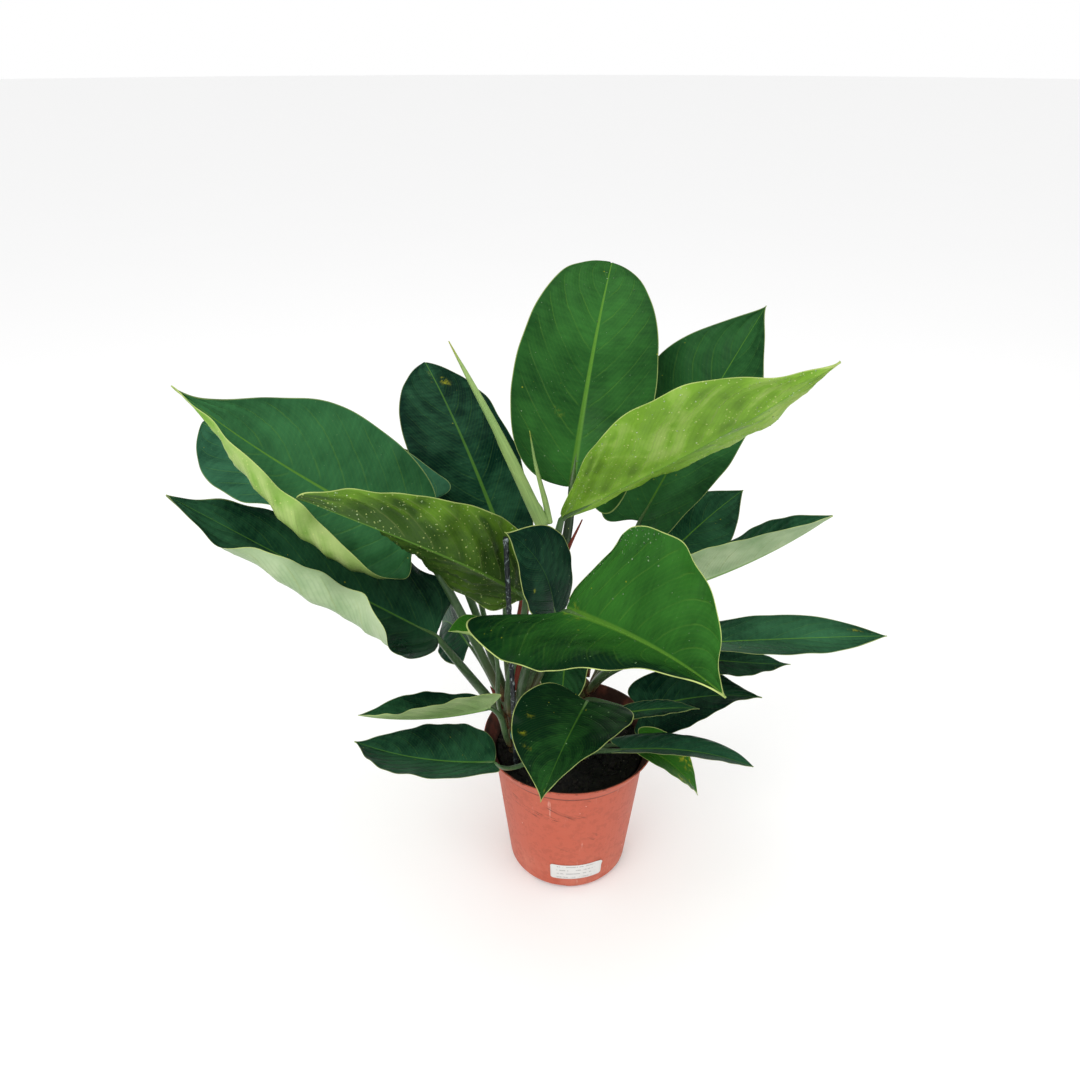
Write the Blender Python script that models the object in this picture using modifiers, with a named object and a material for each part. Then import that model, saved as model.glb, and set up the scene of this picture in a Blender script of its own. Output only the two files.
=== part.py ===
"""Potted philodendron: a heart-leaved clump of three shoots in a nursery pot, with one support stake."""
import math

import bmesh
import bpy
from mathutils import Vector

# ---- driving dimensions, in metres and degrees -------------------------------------------------
GAP = 0.0003                 # clearance left between two pieces that touch in life
SIDES = 96                   # facets round the pot

POT_HEIGHT = 0.173           # foot to rim
BODY_TOP_R = 0.0835          # outer radius of the body just under the lip
LIP_FLARE = 0.0115           # how far the lip stands out from the body
FOOT_R = 0.0635              # outer radius of the foot ring
FOOT_ROUND = 0.0045          # how far the body swells above the foot ring
FOOT_ROUND_H = 0.012         # height where the straight taper starts
POT_WALL = 0.0022
LIP_HEIGHT = 0.019           # depth of the flared lip
FOOT_RECESS = 0.0048         # how far the floor is lifted between the pad and the foot ring
FOOT_PAD_R = 0.036           # radius of the flat pad the pot rests on
ARCHES = 4                   # low arches through the foot ring that let water out
ARCH_W, ARCH_H = 0.038, 0.0045
ARCH_TURN = -106.5           # direction of the first arch
HOLES = 8                    # drainage holes in the raised floor
HOLE_R = 0.0035

SOIL_DROP = 0.017            # rim down to the potting mix at the wall
SOIL_CROWN = 0.003           # how much higher the mix stands away from the wall

STEM_A = (-0.060, -0.014)    # main shoot
STEM_B = (0.016, 0.070)      # back shoot
STEM_C = (0.012, -0.027)     # low front offshoot
STEM_A_R, STEM_A_H = 0.0070, 0.078
STEM_B_R, STEM_B_H = 0.0070, 0.034
STEM_C_R, STEM_C_H = 0.0045, 0.014

STAKE_FOOT = (-0.057, -0.040)
STAKE_TOP = (-0.061, -0.062, 0.292)
STAKE_R = 0.0026
CLIP_T = 0.0017              # wall of the clip on the stake
CLIP_W = 0.007

LABEL_W, LABEL_H = 0.057, 0.024
LABEL_Z = 0.0310             # height of the sticker's middle
LABEL_TURN = -81.0           # direction the sticker faces
LABEL_T = 0.0006

BLADE_T = 0.0011             # blade thickness away from the midrib
RIB_T = 0.0026               # thickness along the midrib
STALK_SHAPE = (0.72, 0.95, 1.05, 1.0, 0.95, 0.85, 0.62)   # petiole radius from foot to blade, as shares

GROWN_FOR = 0.0835           # pot radius that the plant's own sizes are given for
GROWN_H = {"A": 0.078, "B": 0.034, "C": 0.014}   # stem heights that the heights of leaves are given for
CROWN_FROM = 0.55            # share of a stem's height above which its leaves sit close and move as one

RIM_R = BODY_TOP_R + LIP_FLARE
MIX_LEVEL = POT_HEIGHT - SOIL_DROP + SOIL_CROWN
GROWTH = BODY_TOP_R / GROWN_FOR

# ---- colours -----------------------------------------------------------------------------------
TERRACOTTA = (0.60, 0.14, 0.085, 1.0)
PEAT = (0.018, 0.014, 0.011, 1.0)
LEAF_GREEN = (0.018, 0.090, 0.020, 1.0)
YOUNG_GREEN = (0.22, 0.40, 0.12, 1.0)
BARK = (0.10, 0.085, 0.035, 1.0)
RUST = (0.22, 0.045, 0.028, 1.0)
STAKE_DARK = (0.025, 0.028, 0.030, 1.0)
TEAL = (0.02, 0.16, 0.15, 1.0)
PAPER = (0.82, 0.82, 0.80, 1.0)

# ---- leaf table --------------------------------------------------------------------------------
# Heights are above the potting mix, and every size is for a pot of GROWN_FOR.
# at: shoot, share of the stem's height, side of the shoot the petiole leaves from (degrees)
# stalk: petiole radius half way up
# via: a point the petiole passes half way up, or None for its own easy bend
# base: where the petiole meets the blade; head, rise: heading and upward tilt of the midrib there
# arch, sway, roll, twist: how the tilt, heading and roll run on towards the tip
# size: blade length, half width on the left and on the right
# fold, curl: lift and edge curl of the two halves (left, right)
# spread: how far the edge curl runs towards the ends, 0.45 unless given
# lobe, widest, tip: depth of the basal lobes (left, right), place of the widest line, sharpness of the tip
LEAVES = [
    dict(name="leaf_crown_upright", stalk=0.0054, at=("A", 0.92, 66), via=(-0.018, 0.024, 0.191),
         base=(-0.003, 0.021, 0.304), head=75, rise=62, arch=48, sway=7, roll=-12, twist=0,
         size=(0.272, 0.074, 0.067), fold=(10, 7), curl=(0, -5), lobe=(0.02, 0.14), widest=0.35, tip=0.6),
    dict(name="leaf_back_right", stalk=0.0046, at=("B", 0.88, 75), via=None,
         base=(0.071, 0.089, 0.232), head=23, rise=62, arch=1, sway=-9, roll=-8, twist=-22,
         size=(0.255, 0.080, 0.080), fold=(19, 17), curl=(0, -14), lobe=(0.14, 0.11), widest=0.47, tip=1.3),
    dict(name="leaf_right_rolled", stalk=0.0050, at=("A", 0.87, 14), via=(-0.020, -0.013, 0.179),
         base=(-0.011, -0.026, 0.296), head=1, rise=30, arch=-15, sway=-27, roll=43, twist=7,
         size=(0.282, 0.072, 0.088), fold=(17, 5), curl=(30, 14), lobe=(-0.10, -0.06), widest=0.48, tip=1.9),
    dict(name="leaf_left_curled", stalk=0.0046, at=("A", 0.85, 165), via=(-0.113, -0.014, 0.179),
         base=(-0.153, -0.018, 0.264), head=182, rise=33, arch=-19, sway=27, roll=47, twist=-23,
         size=(0.258, 0.090, 0.079), fold=(6, 16), curl=(165, 9), lobe=(0.09, 0.06), widest=0.41, tip=2.0),
    dict(name="leaf_left_behind", stalk=0.0044, at=("A", 0.72, 120), via=(-0.100, 0.032, 0.137),
         base=(-0.150, 0.062, 0.261), head=177, rise=12, arch=2, sway=-29, roll=-3, twist=46,
         size=(0.284, 0.080, 0.075), fold=(17, 16), curl=(-6, -4), lobe=(0.14, 0.11), widest=0.45, tip=0.8),
    dict(name="leaf_front_left", stalk=0.0040, at=("A", 0.72, -110), via=(-0.058, -0.024, 0.131),
         base=(-0.047, -0.018, 0.202), head=235, rise=44, arch=19, sway=-52, roll=-73, twist=35,
         size=(0.264, 0.054, 0.056), fold=(30, 30), curl=(-6, 23), lobe=(0.10, 0.08), widest=0.33, tip=0.6),
    dict(name="leaf_left_low", stalk=0.0048, at=("A", 0.59, -170), via=(-0.100, -0.024, 0.099),
         base=(-0.133, -0.045, 0.170), head=192, rise=37, arch=3, sway=-10, roll=4, twist=12,
         size=(0.282, 0.112, 0.078), fold=(16, 15), curl=(180, -27), lobe=(-0.12, 0.10), widest=0.12, tip=1.2,
         spread=0.25),
    dict(name="leaf_front_upright", stalk=0.0032, at=("A", 0.90, -22), via=(-0.032, -0.030, 0.139),
         base=(-0.016, -0.061, 0.207), head=200, rise=86, arch=50, sway=5, roll=39, twist=14,
         size=(0.116, 0.044, 0.045), fold=(4, 8), curl=(-5, -12), lobe=(0.03, 0.08), widest=0.40, tip=1.6),
    dict(name="leaf_front_heart", stalk=0.0046, at=("A", 0.64, -68), via=(-0.042, -0.068, 0.156),
         base=(-0.005, -0.130, 0.260), head=-46, rise=13, arch=-5, sway=-29, roll=-33, twist=30,
         size=(0.221, 0.088, 0.084), fold=(40, 31), curl=(34, -47), lobe=(-0.11, 0.42), widest=0.36, tip=1.7),
    dict(name="leaf_low_heart", stalk=0.0030, at=("C", 0.86, -100), via=None,
         base=(0.017, -0.060, 0.106), head=-110, rise=-1, arch=29, sway=-2, roll=5, twist=-44,
         size=(0.123, 0.062, 0.060), fold=(17, 18), curl=(-9, 4), lobe=(0.04, 0.05), widest=0.33, tip=1.5),
    dict(name="leaf_low_left_folded", stalk=0.0032, at=("A", 0.15, -120), via=None,
         base=(-0.080, -0.067, 0.100), head=204, rise=0, arch=-11, sway=-22, roll=-13, twist=27,
         size=(0.131, 0.037, 0.038), fold=(59, 3), curl=(-7, 8), lobe=(0.14, 0.12), widest=0.41, tip=1.3),
    dict(name="leaf_low_left", stalk=0.0026, at=("C", 0.36, -170), via=(-0.042, -0.064, 0.027),
         base=(-0.072, -0.114, 0.072), head=172, rise=-12, arch=-8, sway=-21, roll=-7, twist=3,
         size=(0.162, 0.048, 0.050), fold=(17, 15), curl=(-1, -5), lobe=(0.14, 0.01), widest=0.36, tip=1.3),
    dict(name="leaf_back_left", stalk=0.0044, at=("A", 0.85, 112), via=None,
         base=(-0.079, 0.110, 0.195), head=127, rise=51, arch=33, sway=-10, roll=4, twist=-4,
         size=(0.254, 0.067, 0.060), fold=(0, 0), curl=(-6, -12), lobe=(0.14, 0.11), widest=0.45, tip=0.72),
    dict(name="leaf_back_left_low", stalk=0.0034, at=("A", 0.33, 115), via=(-0.092, 0.062, 0.091),
         base=(-0.116, 0.100, 0.174), head=141, rise=40, arch=10, sway=-2, roll=-16, twist=6,
         size=(0.186, 0.046, 0.045), fold=(11, 8), curl=(0, -6), lobe=(0.14, 0.14), widest=0.39, tip=1.1),
    dict(name="leaf_right_mid", stalk=0.0032, at=("B", 0.82, 20), via=None,
         base=(0.076, 0.091, 0.151), head=30, rise=41, arch=16, sway=-1, roll=-12, twist=-4,
         size=(0.160, 0.052, 0.054), fold=(10, 7), curl=(0, -2), lobe=(0.14, 0.14), widest=0.39, tip=1.2),
    dict(name="leaf_right_folded", stalk=0.0032, at=("B", 0.82, -35), via=None,
         base=(0.105, 0.017, 0.192), head=-19, rise=31, arch=-12, sway=16, roll=10, twist=-26,
         size=(0.175, 0.048, 0.048), fold=(10, 61), curl=(0, -7), lobe=(0.14, 0.14), widest=0.41, tip=1.1),
    dict(name="leaf_right_long", stalk=0.0036, at=("B", 0.59, -65), via=None,
         base=(0.089, 0.017, 0.122), head=-1, rise=6, arch=5, sway=4, roll=19, twist=-28,
         size=(0.243, 0.047, 0.047), fold=(6, 11), curl=(-4, 2), lobe=(0.14, 0.14), widest=0.44, tip=1.2),
    dict(name="leaf_right_short", stalk=0.0028, at=("B", 0.47, -5), via=None,
         base=(0.109, 0.045, 0.090), head=1, rise=-9, arch=-6, sway=5, roll=3, twist=0,
         size=(0.138, 0.034, 0.034), fold=(7, 7), curl=(-1, -6), lobe=(0.14, 0.14), widest=0.38, tip=1.4),
    dict(name="leaf_right_low", stalk=0.0028, at=("B", 0.18, -90), via=None,
         base=(0.080, 0.034, 0.019), head=0, rise=25, arch=18, sway=-19, roll=-17, twist=35,
         size=(0.138, 0.048, 0.050), fold=(9, 5), curl=(0, -12), lobe=(0.13, 0.14), widest=0.37, tip=1.5),
    dict(name="leaf_right_slip", stalk=0.0018, at=("C", 0.86, 10), via=None,
         base=(0.057, -0.040, 0.076), head=-6, rise=18, arch=14, sway=-2, roll=2, twist=9,
         size=(0.077, 0.016, 0.016), fold=(6, 7), curl=(-1, 0), lobe=(0.14, 0.14), widest=0.38, tip=1.3),
    dict(name="leaf_low_right", stalk=0.0028, at=("C", 0.36, -45), via=None,
         base=(0.054, -0.066, 0.049), head=0, rise=8, arch=23, sway=-12, roll=20, twist=-8,
         size=(0.134, 0.035, 0.035), fold=(13, 17), curl=(-38, -3), lobe=(0.15, 0.14), widest=0.35, tip=0.9),
    dict(name="leaf_hanging_right", stalk=0.0022, at=("C", 0.21, 0), via=(0.043, -0.030, 0.023),
         base=(0.074, -0.040, 0.034), head=-15, rise=-20, arch=43, sway=0, roll=2, twist=9,
         size=(0.087, 0.032, 0.032), fold=(18, 18), curl=(5, 4), lobe=(0.14, 0.14), widest=0.38, tip=1.3),
    dict(name="leaf_inner_left", stalk=0.0024, at=("A", 0.38, 145), via=(-0.088, 0.012, 0.077),
         base=(-0.108, 0.004, 0.126), head=123, rise=9, arch=52, sway=-7, roll=69, twist=-4,
         size=(0.084, 0.037, 0.037), fold=(11, 21), curl=(0, 2), lobe=(0.14, 0.14), widest=0.40, tip=1.2),
    dict(name="leaf_inner_front", stalk=0.0024, at=("A", 0.44, -140), via=None,
         base=(-0.078, -0.083, 0.194), head=191, rise=31, arch=19, sway=6, roll=-6, twist=-7,
         size=(0.040, 0.026, 0.026), fold=(24, 22), curl=(7, 6), lobe=(0.14, 0.14), widest=0.39, tip=1.2),
    dict(name="leaf_inner_middle", stalk=0.0024, at=("B", 0.40, 190), via=None,
         base=(-0.004, 0.036, 0.108), head=-98, rise=-34, arch=34, sway=4, roll=-6, twist=0,
         size=(0.074, 0.027, 0.027), fold=(12, 10), curl=(0, -4), lobe=(0.14, 0.14), widest=0.40, tip=0.9),
]


# ---- helpers -----------------------------------------------------------------------------------
def clear_scene():
    for old in list(bpy.data.objects):
        bpy.data.objects.remove(old, do_unlink=True)


def make_material(name, colour, roughness, metallic=0.0):
    mat = bpy.data.materials.new(name)
    mat.use_nodes = True
    shader = mat.node_tree.nodes["Principled BSDF"]
    shader.inputs["Base Color"].default_value = colour
    shader.inputs["Roughness"].default_value = roughness
    shader.inputs["Metallic"].default_value = metallic
    mat.diffuse_color = colour
    return mat


def add_object(name, mesh, mat, smooth=True):
    obj = bpy.data.objects.new(name, mesh)
    COLLECTION.objects.link(obj)
    obj.data.materials.append(mat)
    for face in obj.data.polygons:
        face.use_smooth = smooth
    return obj


def mesh_from(name, verts, faces):
    mesh = bpy.data.meshes.new(name)
    mesh.from_pydata([tuple(v) for v in verts], [], faces)
    bm = bmesh.new()
    bm.from_mesh(mesh)
    bmesh.ops.remove_doubles(bm, verts=bm.verts, dist=1e-6)
    bmesh.ops.recalc_face_normals(bm, faces=bm.faces)
    bm.to_mesh(mesh)
    bm.free()
    return mesh


def turned(name, profile, mat, steps=SIDES):
    """A closed profile of (radius, height) points in the XZ plane, turned round the Z axis."""
    verts = [(r, 0.0, z) for r, z in profile]
    mesh = bpy.data.meshes.new(name)
    mesh.from_pydata(verts, [(i, i + 1) for i in range(len(verts) - 1)], [])
    obj = add_object(name, mesh, mat)
    screw = obj.modifiers.new("turn", "SCREW")
    screw.axis = "Z"
    screw.steps = steps
    screw.render_steps = steps
    screw.use_merge_vertices = True
    screw.merge_threshold = 0.0001
    screw.use_normal_calculate = True
    screw.use_smooth_shade = True
    return obj


def cut(obj, tool):
    """Take one solid from another with an exact boolean, and drop the tool."""
    mod = obj.modifiers.new("cut", "BOOLEAN")
    mod.operation = "DIFFERENCE"
    mod.solver = "EXACT"
    mod.object = tool
    bpy.context.view_layer.update()
    graph = bpy.context.evaluated_depsgraph_get()
    mesh = bpy.data.meshes.new_from_object(obj.evaluated_get(graph))
    obj.modifiers.clear()
    obj.data = mesh
    bpy.data.objects.remove(tool, do_unlink=True)


def loft(rings, top=0):
    """Join equal rings of points into one closed skin with fan caps.

    The first top points of a ring lie over the rest; both skins are then split along like diagonals.
    """
    count = len(rings[0])
    verts = [p for ring in rings for p in ring]
    faces = []
    for k in range(len(rings) - 1):
        a, b = k * count, (k + 1) * count
        for i in range(count):
            j = (i + 1) % count
            if i < top:
                faces += [(a + i, a + j, b + j), (a + i, b + j, b + i)]
            else:
                faces += [(a + i, a + j, b + i), (a + j, b + j, b + i)]
    faces.append(tuple(range(count)))
    faces.append(tuple(reversed(range(len(verts) - count, len(verts)))))
    return verts, faces


SHOOTS = {
    "A": (*STEM_A, STEM_A_R, STEM_A_H),
    "B": (*STEM_B, STEM_B_R, STEM_B_H),
    "C": (*STEM_C, STEM_C_R, STEM_C_H),
}


def planted(verts, shoot="A", share=0.0):
    """Bring points of the plant, given above the mix for a pot of GROWN_FOR, to their place in this pot.

    What leaves a stem in its crown is carried up or down with the stem's top, and what leaves it lower down by
    less.
    """
    carried = min(share / CROWN_FROM, 1.0) * (SHOOTS[shoot][3] - GROWN_H[shoot])
    return [(Vector(v) + Vector((0, 0, carried))) * GROWTH + Vector((0, 0, MIX_LEVEL)) for v in verts]


def ring_at(centre, axis, radius, count, side=Vector((0, 0, 1))):
    across = axis.cross(side)
    if across.length < 1e-6:
        across = axis.cross(Vector((0, 1, 0)))
    across.normalize()
    up = across.cross(axis).normalized()
    turn = [2 * math.pi * i / count for i in range(count)]
    return [centre + across * (radius * math.cos(a)) + up * (radius * math.sin(a)) for a in turn]


def bezier(p0, p1, p2, p3, t):
    s = 1 - t
    return p0 * s ** 3 + p1 * (3 * s * s * t) + p2 * (3 * s * t * t) + p3 * t ** 3


# ---- leaf geometry -----------------------------------------------------------------------------
def ease(edge0, edge1, x):
    t = min(max((x - edge0) / (edge1 - edge0), 0.0), 1.0)
    return t * t * (3 - 2 * t)


def blade_frame(leaf, t):
    """Directions along, across and out of the blade at a share t of its length."""
    t = min(max(t, 0.0), 1.0)
    pitch = math.radians(leaf["rise"] - leaf["arch"] * t ** 1.3)
    head = math.radians(leaf["head"] + leaf["sway"] * t)
    roll = math.radians(leaf["roll"] + leaf["twist"] * t)
    along = Vector((math.cos(pitch) * math.cos(head), math.cos(pitch) * math.sin(head), math.sin(pitch)))
    out = Vector((-math.sin(pitch) * math.cos(head), -math.sin(pitch) * math.sin(head), math.cos(pitch)))
    across = out.cross(along)
    return (along, across * math.cos(roll) - out * math.sin(roll),
            out * math.cos(roll) + across * math.sin(roll))


def midrib(leaf, steps=60):
    """Points on the midrib from the petiole to the tip, found by adding short straight steps."""
    step = leaf["size"][0] / steps
    here = Vector(leaf["base"])
    points = [here.copy()]
    for k in range(steps):
        here = here + blade_frame(leaf, (k + 0.5) / steps)[0] * step
        points.append(here.copy())
    return points


def edge_point(leaf, u, left):
    """Half width of the flat blade and how far along it the edge lies, for a share u of the edge."""
    length = leaf["size"][0]
    half = leaf["size"][1 if left else 2]
    widest = leaf["widest"]
    if u < widest:
        swell = math.sqrt(max(1 - (1 - u / widest) ** 2.2, 0.0))
    else:
        swell = (1 - ((u - widest) / (1 - widest)) ** 2.2) ** leaf["tip"]
    back = leaf["lobe"][0 if left else 1] * (u / 0.08) * math.exp(1 - u / 0.08)
    return half * swell, length * (u - back)


def section(leaf, u, s):
    """Offset across and out of the blade for a share s of the half width (negative on the right)."""
    left = s >= 0
    fold = math.radians(leaf["fold"][0 if left else 1])
    fade = math.exp(-((u - 0.5) / leaf.get("spread", 0.45)) ** 2)
    curl = math.radians(leaf["curl"][0 if left else 1]) * fade
    steps = 12
    x = z = 0.0
    for k in range(steps):
        angle = fold + curl * ease(0.5, 1.0, (k + 0.5) / steps * abs(s))
        x += math.cos(angle) * abs(s) / steps
        z += math.sin(angle) * abs(s) / steps
    return (x if left else -x), z


def blade_point(leaf, path, u, s, lift):
    """A point on the blade, raised by lift along its outward direction."""
    length = leaf["size"][0]
    half, edge = edge_point(leaf, u, s >= 0)
    middle = length * u ** 1.15
    along = middle + (edge - middle) * abs(s) ** 1.6
    x, z = section(leaf, u, s)
    t = along / length
    frame = blade_frame(leaf, t)
    place = min(max(t, 0.0), 1.0) * (len(path) - 1)
    k = min(int(place), len(path) - 2)
    centre = path[k].lerp(path[k + 1], place - k)
    if t < 0:
        centre = centre + frame[0] * along
    return centre + frame[1] * (half * x) + frame[2] * (half * z + lift)


COLUMNS = (-1.0, -0.62, 0.0, 0.62, 1.0)
ROWS = (0.015, 0.05, 0.11, 0.2, 0.32, 0.46, 0.6, 0.74, 0.86, 0.95, 0.995)


def blade_ring(leaf, path, u):
    """One closed section of the blade: the top from right to left, then the underside back."""
    slim = 1.0 - 0.55 * u
    thick = {0.0: RIB_T * slim / 2, 0.62: BLADE_T / 2, 1.0: BLADE_T / 2}
    taper = min(1.0, (1.02 - u) / 0.1)
    top = [blade_point(leaf, path, u, s, thick[abs(s)] * taper) for s in COLUMNS]
    low = [blade_point(leaf, path, u, s, -thick[abs(s)] * taper) for s in reversed(COLUMNS)]
    return top + low


def foot_of(leaf):
    """Where a petiole leaves its shoot, standing clear of the shoot by the gap."""
    shoot, share, side = leaf["at"]
    x, y, radius, _ = SHOOTS[shoot]
    away = Vector((math.cos(math.radians(side)), math.sin(math.radians(side)), 0.0))
    reach = radius + GAP + leaf["stalk"] * STALK_SHAPE[0]
    return Vector((x, y, GROWN_H[shoot] * share)) + away * reach, away


def petiole_rings(leaf):
    """Sections of the leaf stalk from the shoot to the blade, ten points each like the blade's."""
    foot, away = foot_of(leaf)
    base = Vector(leaf["base"])
    along, across, _ = blade_frame(leaf, 0.0)
    span = (base - foot).length
    arrive = ((base - foot).normalized() + along * 0.5).normalized()
    p1 = foot + (Vector((0, 0, 1)) * 0.8 + away * 0.35).normalized() * span * 0.38
    p2 = base - arrive * span * 0.30
    if leaf["via"]:
        shift = (Vector(leaf["via"]) - bezier(foot, p1, p2, base, 0.5)) * (4 / 3)
        p1 = p1 + shift
        p2 = p2 + shift
    last = len(STALK_SHAPE) - 1
    rings = []
    for k in reversed(range(last + 1)):
        t = k / last * 0.985
        here = bezier(foot, p1, p2, base, t)
        axis = (bezier(foot, p1, p2, base, t + 0.01) - here).normalized()
        across = (across - axis * across.dot(axis)).normalized()
        rings.append(stalk_ring(here, across, axis.cross(across), leaf["stalk"] * STALK_SHAPE[k]))
    rings.reverse()
    return rings


def stalk_ring(centre, side, up, radius):
    """Ten points laid out like a blade section: five along the top, five back underneath."""
    turns = (180, 135, 90, 45, 0, -18, -54, -90, -126, -162)
    return [centre + side * (radius * math.cos(math.radians(a))) + up * (radius * math.sin(math.radians(a)))
            for a in turns]


def build_leaf(leaf, mat):
    path = midrib(leaf)
    rings = petiole_rings(leaf) + [blade_ring(leaf, path, u) for u in ROWS]
    verts, faces = loft(rings, top=len(COLUMNS))
    return add_object(leaf["name"], mesh_from(leaf["name"], planted(verts, *leaf["at"][:2]), faces), mat)


# ---- stems, sheaths, spear ---------------------------------------------------------------------

def build_stem(name, shoot, mat):
    """A short upright stem with a rounded top, ringed by old leaf scars."""
    x, y, radius, height = SHOOTS[shoot]
    steps = max(4, int(height / 0.009))
    shoulder = height - radius * 0.5
    levels = [(GAP + shoulder * k / steps, 1.0 if k % 2 else 0.93) for k in range(steps + 1)]
    for lift, share in ((0.25, 0.86), (0.42, 0.62), (0.5, 0.3)):
        levels.append((GAP + shoulder + radius * lift, share))
    up, front = Vector((0, 0, 1)), Vector((0, 1, 0))
    rings = [ring_at(Vector((x, y, level)), up, radius * share, 12, front) for level, share in levels]
    verts, faces = loft(rings)
    return add_object(name, mesh_from(name, planted(verts), faces), mat)


def build_spike(name, points, radii, mat, share, count=8):
    """A tapered round piece that follows a bent line of points, from a share of the main stem's height."""
    path = [Vector(p) for p in points]
    rings = []
    for k, here in enumerate(path):
        before = path[max(k - 1, 0)]
        ahead = path[min(k + 1, len(path) - 1)]
        rings.append(ring_at(here, (ahead - before).normalized(), radii[k], count, Vector((0, 1, 0))))
    verts, faces = loft(rings)
    return add_object(name, mesh_from(name, planted(verts, "A", share), faces), mat)


SHEATH_TALL = [(-0.0585, -0.010, GROWN_H["A"] + 0.0025), (-0.0560, 0.002, 0.124), (-0.0505, 0.014, 0.167),
               (-0.0420, 0.020, 0.215), (-0.0305, 0.008, 0.271)]
SHEATH_TALL_R = [0.0066, 0.0068, 0.0060, 0.0048, 0.0036]
SPEAR = [(-0.0305, -0.001, 0.2735), (-0.040, 0.0, 0.296), (-0.057, 0.0, 0.336), (-0.076, 0.0, 0.378),
         (-0.096, 0.0, 0.419), (-0.113, 0.0, 0.454)]
SPEAR_R = [0.0030, 0.0048, 0.0060, 0.0050, 0.0030, 0.0005]
BRACT = [(-0.0235, 0.002, 0.2745), (-0.028, 0.006, 0.296), (-0.037, 0.010, 0.331), (-0.043, 0.010, 0.367)]
BRACT_R = [0.0022, 0.0032, 0.0026, 0.0004]
SHEATH_RIGHT = [(-0.042, -0.005, 0.103), (-0.028, -0.002, 0.147), (-0.016, -0.003, 0.197),
                (-0.008, -0.007, 0.242), (0.008, -0.017, 0.289)]
SHEATH_RIGHT_R = [0.0022, 0.0030, 0.0030, 0.0024, 0.0006]
SHEATH_LOW = [(-0.0725, -0.022, 0.063), (-0.0765, -0.027, 0.077), (-0.079, -0.030, 0.089),
              (-0.083, -0.031, 0.099)]
SHEATH_LOW_R = [0.0018, 0.0026, 0.0022, 0.0005]


# ---- pot, soil, stake, label -------------------------------------------------------------------
def wall_radius(z):
    """Outer radius of the pot body at a height, a straight taper above the rounded foot."""
    share = (z - FOOT_ROUND_H) / (POT_HEIGHT - LIP_HEIGHT - FOOT_ROUND_H)
    low = FOOT_R + FOOT_ROUND
    return low + (BODY_TOP_R - low) * min(max(share, 0.0), 1.0)


def build_pot(mat):
    """The pot's wall, flared lip, rounded foot and raised floor as one turned profile, then its openings."""
    lip_z = POT_HEIGHT - LIP_HEIGHT
    middle = (FOOT_ROUND_H + lip_z) / 2
    profile = [
        (0.0, 0.0), (FOOT_PAD_R - 0.002, 0.0), (FOOT_PAD_R, FOOT_RECESS),
        (FOOT_R - 0.009, FOOT_RECESS), (FOOT_R - 0.0075, 0.0), (FOOT_R - 0.004, 0.0),
        (FOOT_R + 0.001, 0.0018),
        (FOOT_R + 0.0038, 0.0062), (wall_radius(FOOT_ROUND_H), FOOT_ROUND_H),
        (wall_radius(middle), middle), (wall_radius(lip_z) - 0.0004, lip_z - 0.0015),
        (BODY_TOP_R + 0.001, lip_z),
        (BODY_TOP_R + 0.0036, lip_z + 0.004), (RIM_R - 0.0034, POT_HEIGHT - 0.005),
        (RIM_R - 0.0008, POT_HEIGHT - 0.0022), (RIM_R, POT_HEIGHT - 0.0010), (RIM_R - 0.0008, POT_HEIGHT),
        (RIM_R - 0.0026, POT_HEIGHT - 0.0006), (RIM_R - 0.0058, POT_HEIGHT - 0.0056),
        (BODY_TOP_R + 0.0012, lip_z + 0.004), (BODY_TOP_R - POT_WALL + 0.0006, lip_z - 0.001),
        (wall_radius(middle) - POT_WALL, middle), (wall_radius(FOOT_ROUND_H) - POT_WALL, FOOT_ROUND_H),
        (FOOT_R - 0.001, FOOT_RECESS + POT_WALL + 0.0008), (FOOT_R - 0.004, FOOT_RECESS + POT_WALL),
        (0.0, FOOT_RECESS + POT_WALL),
    ]
    pot = turned("pot", profile, mat)
    for k in range(ARCHES):
        cut(pot, arch_tool(math.radians(ARCH_TURN) + 2 * math.pi * k / ARCHES))
    for k in range(HOLES):
        cut(pot, hole_tool(2 * math.pi * (k + 0.5) / HOLES))
    return pot


def arch_tool(turn):
    """A low block with rounded upper corners that takes one arch out of the foot ring."""
    inner, outer = FOOT_R - 0.012, FOOT_R + 0.006
    place = Vector((math.cos(turn), math.sin(turn), 0.0)) * ((inner + outer) / 2)
    bpy.ops.mesh.primitive_cube_add(size=1.0, location=place, rotation=(0.0, 0.0, turn))
    tool = bpy.context.active_object
    tool.scale = (outer - inner, ARCH_W, ARCH_H * 2)
    bpy.ops.object.transform_apply(location=False, rotation=False, scale=True)
    bevel = tool.modifiers.new("round", "BEVEL")
    bevel.width = ARCH_H * 0.7
    bevel.segments = 3
    return tool


def hole_tool(turn):
    """A drill for one drainage hole, half way between the pad and the foot ring."""
    place = Vector((math.cos(turn), math.sin(turn), 0.0)) * ((FOOT_PAD_R + FOOT_R - 0.009) / 2)
    place.z = FOOT_RECESS + POT_WALL / 2
    bpy.ops.mesh.primitive_cylinder_add(vertices=16, radius=HOLE_R, depth=POT_WALL * 2, location=place)
    return bpy.context.active_object


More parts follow.
